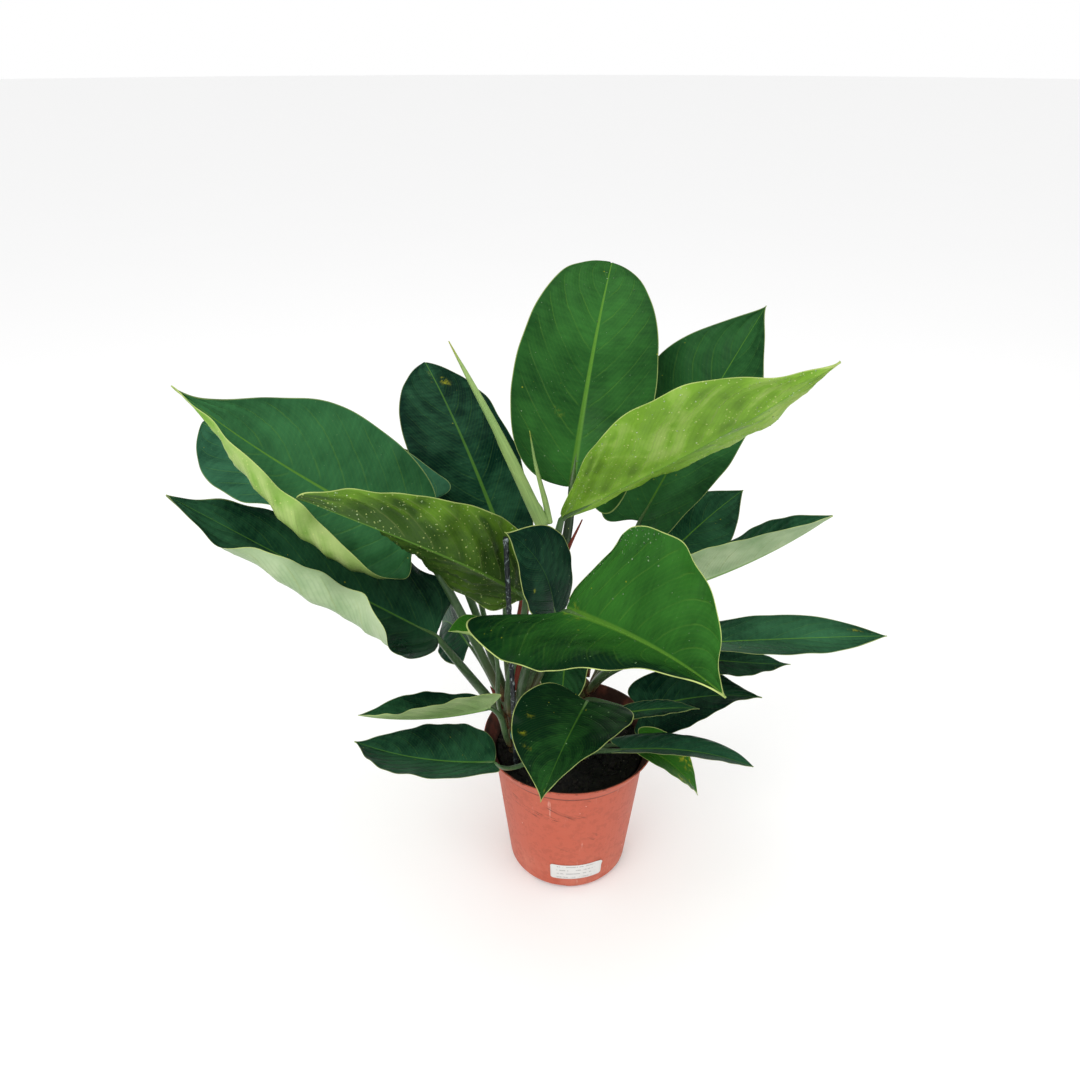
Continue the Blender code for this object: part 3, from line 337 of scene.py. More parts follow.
# ---- mesh collecting ---------------------------------------------------------------------------
class Skin:
    """Collects grids of points into one mesh, with leaf coordinates and a tint at every point."""

    def __init__(self):
        self.points, self.faces, self.kinds = [], [], []
        self.grid, self.reach, self.tint = [], [], []
        self.count = 0

    def add_points(self, points, grid, reach, tint):
        first = self.count
        points = np.asarray(points, float).reshape(-1, 3)
        self.points.append(points)
        self.grid.append(np.broadcast_to(grid, (*np.shape(grid)[:-1], 2)).reshape(-1, 2) * np.ones((len(points), 1)))
        self.reach.append(np.reshape(reach, (-1, 2)) * np.ones((len(points), 1)))
        self.tint.append(np.reshape(tint, (-1, 4)) * np.ones((len(points), 1)))
        self.count += len(points)
        return first

    def add_faces(self, faces, kind):
        self.faces += faces
        self.kinds += [kind] * len(faces)

    def add_loft(self, rings, kind, grid=(0.5, 0.5), tint=(0.5, 0, 0, 1), flip=False):
        """A closed skin over a row of rings, with a flat cap at each end."""
        rows, count = np.shape(rings)[:2]
        first = self.add_points(rings, grid, (1, 1), tint)
        self.add_faces(grid_faces(first, rows, count, closed=True, flip=flip), kind)
        last = first + (rows - 1) * count
        low, high = tuple(range(first, first + count)), tuple(range(last, last + count))
        self.add_faces([low, high[::-1]] if flip else [low[::-1], high], kind)

    def make(self, name, materials, slot, node):
        mesh = bpy.data.meshes.new(name)
        mesh.from_pydata(np.concatenate(self.points).tolist(), [], self.faces)
        mesh.polygons.foreach_set("material_index", self.kinds)
        mesh.shade_smooth()
        corners = np.zeros(len(mesh.loops), np.int32)
        mesh.loops.foreach_get("vertex_index", corners)
        for label, values in (("leaf_grid", self.grid), ("leaf_reach", self.reach)):
            layer = mesh.uv_layers.new(name=label)
            layer.data.foreach_set("uv", np.concatenate(values)[corners].ravel())
        layer = mesh.color_attributes.new("tint", "FLOAT_COLOR", "POINT")
        layer.data.foreach_set("color", np.concatenate(self.tint).ravel())
        for mat in materials:
            mesh.materials.append(mat)
        return place(name, mesh, node)


def place(name, mesh, node):
    """Link a finished piece, ride it on the plant's body and let it stand for its CAD node."""
    piece = bpy.data.objects.new(name, mesh)
    bpy.context.scene.collection.objects.link(piece)
    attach(piece, "root")
    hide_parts(node)
    return piece


def grid_faces(first, rows, columns, closed=False, flip=False):
    """Triangles of a grid of points. Both faces of a thin skin are cut along the same diagonals."""
    faces = []
    for k in range(rows - 1):
        for i in range(columns if closed else columns - 1):
            a, b = first + k * columns + i, first + k * columns + (i + 1) % columns
            c, d = b + columns, a + columns
            faces += [(c, b, a), (d, c, a)] if flip else [(a, b, c), (a, c, d)]
    return faces


def unit(v):
    return v / np.maximum(np.linalg.norm(v, axis=-1, keepdims=True), 1e-9)


def smooth_step(low, high, x):
    t = np.clip((x - low) / (high - low), 0.0, 1.0)
    return t * t * (3 - 2 * t)


def along_line(points, shares):
    """Points on a smooth curve through the given points, at shares of its length (Catmull-Rom)."""
    p = np.asarray(points, float)
    p = np.vstack([2 * p[:1] - p[1:2], p, 2 * p[-1:] - p[-2:-1]])
    place_on = np.clip(np.asarray(shares, float), 0, 1) * (len(p) - 3)
    k = np.minimum(place_on.astype(int), len(p) - 4)
    t = (place_on - k)[:, None]
    a, b, c, d = p[k], p[k + 1], p[k + 2], p[k + 3]
    return 0.5 * (2 * b + (c - a) * t + (2 * a - 5 * b + 4 * c - d) * t ** 2 + (3 * b - a - 3 * c + d) * t ** 3)


def ring_frames(path, start):
    """Side and up directions along a path, carried along without twist from a first side direction."""
    axes = unit(np.gradient(path, axis=0))
    sides = []
    side = np.asarray(start, float)
    for axis in axes:
        side = side - axis * np.dot(side, axis)
        side = side / np.linalg.norm(side)
        sides.append(side)
    sides = np.array(sides)
    return sides, np.cross(axes, sides)


def tube(skin, path, radii, start, kind, shape, sides, tint=(0.5, 0, 0, 1)):
    """A closed round tube along a path; shape gives each share and turn its own radius factor."""
    path = np.asarray(path, float)
    side, up = ring_frames(path, start)
    turns = np.arange(sides) * 2 * math.pi / sides
    shares = np.linspace(0, 1, len(path))
    reach = np.asarray(radii, float)[:, None] * shape(shares[:, None], turns[None, :])
    points = (path[:, None] + side[:, None] * (reach * np.cos(turns))[..., None]
              + up[:, None] * (reach * np.sin(turns))[..., None])
    grid = np.stack(np.broadcast_arrays(shares[:, None], (turns / (2 * math.pi))[None, :]), -1)
    skin.add_loft(points, kind, grid, tint)


def noise_at(points, scale, seed=0.0):
    """Smooth noise from -1 to 1 at each point of an array."""
    flat = np.asarray(points, float).reshape(-1, 3)
    found = [noise.noise(Vector((x * scale + seed, y * scale, z * scale))) for x, y, z in flat]
    return np.reshape(found, np.shape(points)[:-1])


# ---- leaf shape --------------------------------------------------------------------------------
def blade_frame(leaf, t):
    """Directions along, across and out of the blade at shares t of its length."""
    t = np.clip(np.asarray(t, float), 0.0, 1.0)
    pitch = np.radians(leaf["rise"] - leaf["arch"] * t ** 1.3)
    head = np.radians(leaf["head"] + leaf["sway"] * t)
    roll = np.radians(leaf["roll"] + leaf["twist"] * t)[..., None]
    along = np.stack([np.cos(pitch) * np.cos(head), np.cos(pitch) * np.sin(head), np.sin(pitch)], -1)
    out = np.stack([-np.sin(pitch) * np.cos(head), -np.sin(pitch) * np.sin(head), np.cos(pitch)], -1)
    across = np.cross(out, along)
    return along, across * np.cos(roll) - out * np.sin(roll), out * np.cos(roll) + across * np.sin(roll)


def midrib(leaf):
    """Points on the midrib from the petiole to the tip, found by adding short straight steps."""
    middles = (np.arange(MIDRIB_STEPS) + 0.5) / MIDRIB_STEPS
    moves = blade_frame(leaf, middles)[0] * leaf["size"][0] / MIDRIB_STEPS
    return np.array(leaf["base"]) + np.vstack([np.zeros(3), np.cumsum(moves, axis=0)])


def blade_points(leaf, u, s):
    """Points on the blade's middle surface, and its half width there.

    u is the share along the margin, s the share of the half width, positive on the left.
    """
    reach = leaf["size"][0]
    left, share = s >= 0, np.abs(s)

    def side(key, k=0):
        return np.where(left, leaf[key][k], leaf[key][k + 1])

    rise_to = np.sqrt(np.clip(1 - np.clip(1 - u / leaf["widest"], 0, 1) ** 2.2, 0, 1))
    past = np.clip((u - leaf["widest"]) / (1 - leaf["widest"]), 0, 1)
    half = side("size", 1) * np.where(u < leaf["widest"], rise_to, (1 - past ** 2.2) ** leaf["tip"])
    edge = reach * (u - side("lobe") * (u / 0.08) * np.exp(1 - u / 0.08))
    middle = reach * u ** 1.15
    along = middle + (edge - middle) * share ** 1.6
    fold = np.radians(side("fold"))
    curl = np.radians(side("curl")) * np.exp(-((u - 0.5) / leaf.get("spread", 0.45)) ** 2)
    x = z = 0.0
    for k in range(CURL_STEPS):
        angle = fold + curl * smooth_step(0.5, 1.0, (k + 0.5) / CURL_STEPS * share)
        x = x + np.cos(angle) * share / CURL_STEPS
        z = z + np.sin(angle) * share / CURL_STEPS
    x = np.where(left, x, -x)
    t = along / reach
    line, across, out = blade_frame(leaf, t)
    path = midrib(leaf)
    spot = np.clip(t, 0, 1) * (len(path) - 1)
    k = np.minimum(spot.astype(int), len(path) - 2)
    here = path[k] + (path[k + 1] - path[k]) * (spot - k)[..., None]
    here = here + line * np.where(t < 0, along, 0)[..., None]
    return here + across * (half * x)[..., None] + out * (half * z)[..., None], half


def blade_noise(u, scale, s, seed):
    """Smooth noise over a blade, stretched to suit its length."""
    return noise_at(np.stack([u * scale, s, np.full_like(u, seed)], -1), 1.0)


def surface_normals(points):
    return unit(np.cross(np.gradient(points, axis=0), np.gradient(points, axis=1)))


def blade_tint(look, u, s, upper, seed):
    """Tone, yellowing, and margin paleness (upper face) or warmth (underside) at each point of a face."""
    spots = np.stack([u * 3.0, s * 1.3, np.full_like(u, seed)], -1)
    cloud = noise_at(spots, 1.0) * 0.5 + noise_at(spots, 3.1, 7.0) * 0.25
    # painted light and shade: one half of the blade is made lighter than the other, as if it faced the light and the
    # other half lay in shade
    tone = look["tone" if upper else "under"] + look["painted_light_swing"] * s + cloud * (0.30 if upper else 0.18)
    if upper:
        tone = tone + 0.20 * (0.45 - np.abs(s))
    yellow = np.zeros_like(u)
    for at, side, radius, strength in look["marks"]:
        away = np.sqrt((u - at) ** 2 + ((s - side) * 0.3) ** 2) / radius
        yellow = np.maximum(yellow, strength * np.clip(1.3 - away, 0, 1))
    third = np.full_like(u, look["edge"] if upper else look["warm"])
    return np.stack([np.clip(tone, 0, 1), yellow, third, np.full_like(u, look["sun"])], -1)


def add_blade(skin, leaf, look, settings, seed):
    """The blade: two faces with quilting between the side veins, a sunken midrib and a ridge beneath it."""
    rows = BLADE_ROWS
    x = np.linspace(0, 1, rows)
    u_line = 0.003 + 0.9955 * (0.5 * x + 0.5 * (1 - np.cos(math.pi * x)) / 2)
    side = np.sin(np.linspace(0, 1, BLADE_HALF_COLUMNS + 1)[1:] * math.pi / 2)
    side = np.sort(np.concatenate([[0.012, 0.03, 0.058], side]))
    s_line = np.concatenate([-side[::-1], [0.0], side])
    u, s = np.meshgrid(u_line, s_line, indexing="ij")
    points, half = blade_points(leaf, u, s)
    share = np.abs(s)
    out = surface_normals(points)
    wave = settings.veins * (u - settings.sweep * share ** 1.25)
    swell = np.sqrt(0.03 + np.sin(math.pi * wave) ** 2) - 0.62
    inside = smooth_step(0.04, 0.3, share) * (1 - smooth_step(0.78, 1.0, share)) * smooth_step(0, 0.12, u)
    inside = inside * (1 - smooth_step(0.8, 1.0, u))
    size = min(1.0, leaf["size"][0] / 0.22)
    lift = look["quilt"] * size * swell * inside
    rough = blade_noise(u, 9, s * 2.2, seed)
    lift = lift + look["quilt"] * size * rough * 1.3 * smooth_step(0.05, 0.4, share)
    phase = np.where(s > 0, 1.7, 4.1) + seed
    edge_wave = np.sin(u * 23 + phase) * 0.6 + np.sin(u * 41 + phase * 2.3) * 0.4
    lift = (lift + look["ripple"] * size * edge_wave * share ** 4 * smooth_step(0, 0.1, u)
            * (1 - smooth_step(0.85, 1, u)))
    points = points + out * lift[..., None]
    wander = blade_noise(u, 6, np.sign(s), seed) * share ** 5
    points = points + unit(np.gradient(points, axis=1)) * (0.022 * half * np.sign(s) * wander)[..., None]
    out = surface_normals(points)

    across = share * half
    rib = settings.rib * (0.35 + 0.65 * size) * (1 - 0.82 * u)
    bell = np.exp(-(across / np.maximum(rib * 0.95, 1e-5)) ** 2)
    thick = settings.blade / 2 * np.sqrt(np.clip(1.05 - share ** 6, 0.05, 1)) * (1 - 0.6 * smooth_step(0.85, 1, u))
    upper = points + out * (thick - 0.30 * rib * bell)[..., None]
    lower = points - out * (thick + 0.85 * rib * bell)[..., None]
    grid = np.stack([u, s * 0.5 + 0.5], -1)
    reach = np.stack([across, (1 - share) * half], -1)
    columns = len(s_line)
    top = skin.add_points(upper, grid, reach, blade_tint(look, u, s, True, seed))
    low = skin.add_points(lower, grid, reach, blade_tint(look, u, s, False, seed))
    skin.add_faces(grid_faces(top, rows, columns, flip=True), 0)
    skin.add_faces(grid_faces(low, rows, columns), 1)
    rim = []
    for k in range(rows - 1):
        for i, flip in ((0, False), (columns - 1, True)):
            a, b = k * columns + i, (k + 1) * columns + i
            quad = (top + a, top + b, low + b, low + a)
            rim.append(quad if flip else quad[::-1])
    for k, flip in ((0, True), (rows - 1, False)):
        for i in range(columns - 1):
            a = k * columns + i
            quad = (top + a, top + a + 1, low + a + 1, low + a)
            rim.append(quad if flip else quad[::-1])
    skin.add_faces(rim, 1)
    return upper, lower, out


def add_petiole(skin, leaf, look):
    """The stalk: a long easy bend from the shoot that runs on beneath the blade as the midrib."""
    shoot, share, side = leaf["at"]
    x, y, radius, tall = SHOOTS[shoot]
    away = np.array((math.cos(math.radians(side)), math.sin(math.radians(side)), 0.0))
    stalk = leaf["stalk"]
    foot = np.array((x, y, tall * share)) + away * (radius + 0.0003 + stalk * STALK_SHAPE[0])
    base = np.array(leaf["base"])
    along, across, _ = blade_frame(leaf, 0.0)
    span = np.linalg.norm(base - foot)
    arrive = unit(unit(base - foot) + along * 0.5)
    p1 = foot + unit(np.array((0, 0, 0.8)) + away * 0.35) * span * 0.38
    p2 = base - arrive * span * 0.30
    if leaf["via"]:
        middle = (foot + 3 * p1 + 3 * p2 + base) / 8
        shift = (np.array(leaf["via"]) - middle) * (4 / 3)
        p1, p2 = p1 + shift, p2 + shift
    t = np.linspace(0, 0.985, 34)[:, None]
    path = foot * (1 - t) ** 3 + p1 * 3 * t * (1 - t) ** 2 + p2 * 3 * t ** 2 * (1 - t) + base * t ** 3
    radii = stalk * np.interp(t[:, 0] / 0.985, np.linspace(0, 1, len(STALK_SHAPE)), STALK_SHAPE)
    under = np.linspace(0.015, 0.16, 9)
    _, _, up = blade_frame(leaf, under)
    sink = 0.30 * radii[-1] * smooth_step(0, 0.1, under)
    run = midrib(leaf)[np.rint(under * MIDRIB_STEPS).astype(int)] - up * sink[:, None]
    path = np.vstack([path, run])
    radii = np.concatenate([radii, radii[-1] * (0.95 - 0.75 * smooth_step(0, 0.16, under))])
    foot_swell = np.exp(-np.linspace(0, 1, len(path)) * 16)
    radii = radii * (1 + 0.18 * foot_swell)

    def groove(shares, turns):
        return 1 - 0.10 * np.exp(-((turns - math.pi / 2) / 0.42) ** 2) * smooth_step(0.05, 0.3, shares)

    tint = np.zeros((len(path), PETIOLE_SIDES, 4))
    tint[..., 0] = look["dark"]
    tint[..., 1] = foot_swell[:, None]
    tint[..., 3] = 1
    tube(skin, path, radii, across, 2, groove, PETIOLE_SIDES, tint)


def add_dew(skin, upper, lower, out, look, flipped, maker):
    """Droplets on the face of the blade that looks at the light, as low domes of unequal size."""
    rows, columns = upper.shape[:2]
    for u0, u1, s0, s1, count in look["dew"]:
        for _ in range(count):
            k = int(maker.uniform(u0, u1) * (rows - 2))
            i = int((maker.uniform(s0, s1) * 0.5 + 0.5) * (columns - 2))
            a, b = maker.random(), maker.random()
            face = lower if flipped else upper
            spot = (face[k, i] * (1 - a) * (1 - b) + face[k + 1, i] * a * (1 - b)
                    + face[k, i + 1] * (1 - a) * b + face[k + 1, i + 1] * a * b)
            normal = -out[k, i] if flipped else out[k, i]
            side = unit(np.cross(normal, (0.3, 0.5, 0.8)))
            up = np.cross(normal, side)
            radius = DROP_R + DROP_R_SPREAD * maker.random() ** 3
            points = []
            for ring in range(DROP_RINGS):
                bend = math.pi / 2 * ring / (DROP_RINGS - 0.4)
                for n in range(DROP_SIDES):
                    turn = 2 * math.pi * n / DROP_SIDES
                    points.append(spot + radius * (math.cos(bend) * (side * math.cos(turn) + up * math.sin(turn))
                                                   + normal * (0.75 * math.sin(bend) - 0.1)))
            skin.add_loft(np.reshape(points, (DROP_RINGS, DROP_SIDES, 3)), 3, tint=(1.0 if flipped else 0.0, 0, 0, 1))


def settle(skin, node, materials, slot, name=None):
    """Lift a piece onto the potting mix and make it; it has to lie where the frame holds its plain solid."""
    for points in skin.points:
        points[:, 2] += MIX_LEVEL
    piece = skin.make(name or "fine_" + node, materials, slot, node)
    low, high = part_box(node)
    corners = np.array([v.co for v in piece.data.vertices])
    if (corners.min(0) < np.array(low) - FIT_SLACK).any() or (corners.max(0) > np.array(high) + FIT_SLACK).any():
        raise RuntimeError(f"{piece.name} leaves the space of {node}")


# ---- shader nodes ------------------------------------------------------------------------------
class Net:
    """Adds nodes to a tree and wires them by plain calls."""

    def __init__(self, tree):
        self.tree = tree

    def feed(self, socket, value):
        if isinstance(value, bpy.types.NodeSocket):
            self.tree.links.new(value, socket)
        elif value is not None:
            socket.default_value = value

    def node(self, kind, sockets=(), **settings):
        made = self.tree.nodes.new(kind)
        for key, value in settings.items():
            setattr(made, key, value)
        for key, value in dict(sockets).items():
            self.feed(made.inputs[key], value)
        return made

    def calc(self, operation, *values):
        made = self.node("ShaderNodeMath", operation=operation)
        for socket, value in zip(made.inputs, values):
            self.feed(socket, value)
        return made.outputs[0]

    def span(self, value, low, high, to_low=0.0, to_high=1.0, kind="SMOOTHSTEP"):
        made = self.node("ShaderNodeMapRange", interpolation_type=kind)
        for socket, given in zip(made.inputs, (value, low, high, to_low, to_high)):
            self.feed(socket, given)
        return made.outputs[0]

    def times(self, a, b):
        return self.calc("MULTIPLY", a, b)

    def plus(self, a, b):
        return self.calc("ADD", a, b)

    def minus(self, a, b):
        return self.calc("SUBTRACT", a, b)

    def mix(self, factor, a, b):
        made = self.node("ShaderNodeMix", data_type="RGBA")
        for index, value in ((0, factor), (6, a), (7, b)):
            self.feed(made.inputs[index], value)
        return made.outputs[2]

    def over(self, base, colour, mask, strength):
        """Lay a colour over another through a mask, at a strength."""
        return self.mix(self.times(mask, strength), base, colour)

    def noise(self, vector, scale, detail=3.0, roughness=0.55, distortion=0.0):
        made = self.node("ShaderNodeTexNoise", {"Vector": vector, "Scale": scale, "Detail": detail,
                                                "Roughness": roughness, "Distortion": distortion})
        return made.outputs["Fac"]

    def stretch(self, vector, x, y, z):
        made = self.node("ShaderNodeMapping", {"Vector": vector, "Scale": (x, y, z)})
        return made.outputs[0]

    def split(self, vector):
        return self.node("ShaderNodeSeparateXYZ", {0: vector}).outputs

    def uv(self, name):
        return self.node("ShaderNodeUVMap", uv_map=name).outputs[0]

    def tint(self):
        """The four numbers that each point of a piece carries."""
        carried = self.node("ShaderNodeAttribute", attribute_name="tint").outputs
        return [*self.split(carried["Color"]), carried["Alpha"]]

    def clouds(self, vector, scale, softness):
        """Soft clouds from 0 to 1, out of the shared group."""
        return use_group(self, "mottle", Vector=vector, Scale=scale, Softness=softness)["Mask"]

    def dots(self, vector, scale, size, amount):
        """Scattered round specks, out of the shared group."""
        return use_group(self, "specks", Vector=vector, Scale=scale, Size=size, Amount=amount)["Mask"]


def new_group(name, inputs, outputs, build):
    """A shader node group with named sockets; build gets the net and the inputs, and returns the outputs."""
    tree = bpy.data.node_groups.new(name, "ShaderNodeTree")
    for label, kind, value in inputs:
        socket = tree.interface.new_socket(name=label, in_out="INPUT", socket_type=kind)
        if value is not None:
            socket.default_value = value
    for label, kind in outputs:
        tree.interface.new_socket(name=label, in_out="OUTPUT", socket_type=kind)
    net = Net(tree)
    given = net.node("NodeGroupInput").outputs
    ends = net.node("NodeGroupOutput").inputs
    for label, value in build(net, given).items():
        net.feed(ends[label], value)
    return tree


def use_group(net, name, **values):
    made = net.node("ShaderNodeGroup", node_tree=bpy.data.node_groups[name])
    for label, value in values.items():
        net.feed(made.inputs[label.replace("_", " ")], value)
    return made.outputs


def leaf_pattern(net, given):
    """Where the midrib, the side veins and the margin run on a blade."""
    u, v, _ = net.split(given["Grid"])
    across, inset, _ = net.split(given["Reach"])
    share = net.calc("ABSOLUTE", net.minus(net.times(v, 2.0), 1.0))
    bend = net.times(net.calc("POWER", share, 1.25), given["Sweep"])
    wobble = net.times(net.minus(net.noise(given["Grid"], 7.0, 2.0), 0.5), 0.02)
    run = net.plus(net.minus(u, bend), wobble)

    def lines(count, width):
        wave = net.calc("FRACT", net.times(run, count))
        near = net.calc("ABSOLUTE", net.minus(wave, 0.5))
        return net.span(near, net.minus(0.5, width), 0.5)

    main = lines(given["Veins"], 0.070)
    fine = lines(net.times(given["Veins"], 5.0), 0.30)
    rib_half = net.times(given["Rib Width"], net.span(u, 0.0, 1.0, 0.5, 0.07, "LINEAR"))
    midrib_mask = net.span(across, net.times(rib_half, 0.45), rib_half, 1.0, 0.0)
    margin = net.span(inset, net.times(given["Margin"], 0.55), given["Margin"], 1.0, 0.0)
    margin = net.times(margin, net.span(net.noise(given["Grid"], 9.0, 2.0), 0.30, 0.60, 0.45, 1.0))
    clear = net.times(net.span(share, 0.02, 0.12), net.span(share, 0.82, 0.97, 1.0, 0.0))
    uneven = net.span(net.noise(given["Grid"], 5.0, 2.0), 0.35, 0.62, 0.25, 1.0)
    main = net.times(net.times(main, clear), uneven)
    # painted shade: a wave across the side veins, lighter on one side of each vein and darker on the other, standing in
    # for light and shade on the quilted swellings
    swell = net.calc("SINE", net.times(net.times(run, given["Veins"]), 2.0 * math.pi))
    return {"Midrib": midrib_mask, "Margin": margin, "Veins": main, "Fine Veins": net.times(fine, clear),
            "Painted Quilt Shade": net.times(net.times(swell, clear), uneven)}


def specks(net, given):
    """Scattered round specks; Amount is the share of cells that hold one."""
    cells = net.node("ShaderNodeTexVoronoi", {"Vector": given["Vector"], "Scale": given["Scale"]})
    pick = net.split(cells.outputs["Color"])[0]
    kept = net.calc("LESS_THAN", pick, given["Amount"])
    size = net.times(given["Size"], net.span(net.split(cells.outputs["Color"])[1], 0, 1, 0.4, 1, "LINEAR"))
    dot = net.span(cells.outputs["Distance"], net.times(size, 0.6), size, 1.0, 0.0)
    return {"Mask": net.times(dot, kept)}


def mottle(net, given):
    """Soft clouds between 0 and 1, with their contrast raised about the middle."""
    cloud = net.noise(given["Vector"], given["Scale"], 5.0, 0.6)
    low = net.minus(0.5, given["Softness"])
    high = net.plus(0.5, given["Softness"])
    return {"Mask": net.span(cloud, low, high)}


def scuffs(net, given):
    """Fine broken scratches drawn out along one axis of the given vector."""
    streak = net.noise(net.stretch(given["Vector"], 1.0, 1.0, 0.07), given["Scale"], 4.0, 0.7)
    patch = net.noise(given["Vector"], 14.0, 2.0)
    drawn = net.span(streak, 0.60, 0.72)
    return {"Mask": net.times(drawn, net.span(patch, 0.50, 0.62))}


def make_groups():
    number, vector = "NodeSocketFloat", "NodeSocketVector"
    new_group("leaf_pattern", [("Grid", vector, None), ("Reach", vector, None), ("Veins", number, 13.0),
                               ("Sweep", number, 0.3), ("Rib Width", number, 0.005), ("Margin", number, 0.001)],
              [("Midrib", number), ("Margin", number), ("Veins", number), ("Fine Veins", number), ("Painted Quilt Shade", number)],
              leaf_pattern)
    new_group("specks", [("Vector", vector, None), ("Scale", number, 100.0), ("Size", number, 0.3),
                         ("Amount", number, 0.2)], [("Mask", number)], specks)
    new_group("mottle", [("Vector", vector, None), ("Scale", number, 10.0), ("Softness", number, 0.2)],
              [("Mask", number)], mottle)
    new_group("scuffs", [("Vector", vector, None), ("Scale", number, 120.0)], [("Mask", number)], scuffs)


def new_material(name, **constants):
    """A new material's net and object coordinates; constants are set on the Principled shader's own sockets."""
    mat = bpy.data.materials.new(name)
    mat.use_nodes = True
    net = Net(mat.node_tree)
    net.material, net.shader = mat, mat.node_tree.nodes["Principled BSDF"]
    for label, value in constants.items():
        net.shader.inputs[label.replace("_", " ")].default_value = value
    return net, net.node("ShaderNodeTexCoord").outputs["Object"]


def finish(net, base, roughness, height=None, distance=0.0):
    """Wire colour, roughness and relief to the shader, and give the finished material."""
    net.feed(net.shader.inputs["Base Color"], base)
    net.feed(net.shader.inputs["Roughness"], roughness)
    if height is not None:
        bump = net.node("ShaderNodeBump", {"Height": height, "Distance": distance, "Strength": 1.0})
        net.feed(net.shader.inputs["Normal"], bump.outputs[0])
    return net.material


def leaf_inputs(net, settings, rib):
    """The blade's own coordinates, its tint and the masks of its veins and margin."""
    grid = net.uv("leaf_grid")
    masks = use_group(net, "leaf_pattern", Grid=grid, Reach=net.uv("leaf_reach"), Veins=float(settings.veins),
                      Sweep=settings.sweep, Rib_Width=settings.rib_width * rib, Margin=settings.margin)
    return grid, net.tint(), masks


def upper_material(settings, name, rib):
    """Glossy upper face: deep to bright green clouds, faint veins, yellow-green midrib and a cream margin."""
    net, space = new_material(name, IOR=1.42, Specular_IOR_Level=0.07)
    grid, tint, masks = leaf_inputs(net, settings, rib)
    cloud = net.clouds(space, scale=16.0, softness=0.24)
    streak = net.noise(net.stretch(grid, 70.0, 5.0, 1.0), 1.0, 3.0)
    light = net.plus(tint[0], net.times(net.minus(cloud, 0.5), 0.42))
    light = net.plus(light, net.times(net.minus(streak, 0.5), 0.42))
    # painted shade of the quilting: lighter and darker bands between the side veins
    light = net.plus(light, net.times(masks["Painted Quilt Shade"], 0.06))
    lit = net.mix(tint[3], settings.shady, settings.bright)
    deep = net.mix(tint[3], settings.deep, settings.olive)
    base = net.mix(net.span(light, 0.0, 1.0, kind="LINEAR"), deep, lit)
    base = net.over(base, settings.line, masks["Fine Veins"], 0.04)
    faint = net.span(tint[0], 0.0, 0.6, 0.04, 0.20, "LINEAR")
    base = net.over(base, settings.line, masks["Veins"], faint)
    flecks = net.dots(space, scale=190.0, size=0.22, amount=0.03)
    base = net.over(base, settings.yellow, flecks, 0.5)
    blotch = net.span(net.noise(space, 230.0, 4.0), 0.46, 0.66)
    base = net.over(base, settings.yellow, tint[1], blotch)
    rib_tone = net.over(settings.line, settings.bright, streak, 0.6)
    shown = net.span(tint[0], 0.05, 0.5, 0.30, 0.85, "LINEAR")
    base = net.over(base, rib_tone, masks["Midrib"], shown)
    base = net.over(base, settings.cream, masks["Margin"], tint[2])
    dust = net.dots(space, scale=520.0, size=0.26, amount=0.04)
    base = net.over(base, settings.cool, dust, 0.35)
    rough = net.plus(0.24, net.times(cloud, 0.16))
    fine = net.noise(space, 700.0, 3.0)
    height = net.plus(net.times(masks["Veins"], -0.45), net.times(fine, 0.16))
    height = net.plus(height, net.times(masks["Fine Veins"], -0.10))
    return finish(net, base, rough, height, 0.0006)


def lower_material(settings, name, rib):
    """Paler, duller underside with raised veins and a grain of pale pores."""
    net, space = new_material(name, IOR=1.40, Specular_IOR_Level=0.25)
    _, tint, masks = leaf_inputs(net, settings, rib)
    cloud = net.clouds(space, scale=18.0, softness=0.26)
    pale = net.mix(tint[2], settings.cool, settings.sunny)
    shade = net.mix(0.80, pale, settings.deep)
    light = net.plus(tint[0], net.times(net.minus(cloud, 0.5), 0.48))
    # painted shade: darker and lighter bands between the side veins, broken up by noise, standing in for the shade in
    # the underside's folds
    painted_fold_shade = net.times(net.minus(masks["Painted Quilt Shade"], 0.5), net.span(net.noise(space, 24.0, 2.0), 0.38, 0.62))
    light = net.plus(light, net.times(painted_fold_shade, net.span(tint[2], 0.3, 1.0, 0.05, 0.26)))
    base = net.mix(net.span(light, 0.0, 0.75, kind="LINEAR"), shade, pale)
    washed = net.mix(tint[2], WASHED_GREEN, settings.cream)
    base = net.mix(net.span(light, 0.70, 1.25, 0.0, 0.9, "LINEAR"), base, washed)
    base = net.over(base, settings.cream, masks["Veins"], 0.16)
    base = net.over(base, settings.deep, masks["Fine Veins"], 0.10)
    base = net.mix(tint[1], base, settings.yellow)
    base = net.over(base, settings.line, masks["Midrib"], 0.60)
    pores = net.dots(space, scale=320.0, size=0.32, amount=0.40)
    base = net.over(base, settings.cream, pores, net.span(tint[2], 0.4, 0.95, 0.1, 0.75))
    base = net.over(base, settings.cream, masks["Margin"], 0.80)
    height = net.plus(net.times(masks["Veins"], 0.7), net.times(net.noise(space, 520.0), 0.4))
    return finish(net, base, net.plus(0.36, net.times(cloud, 0.14)), height, 0.0006)


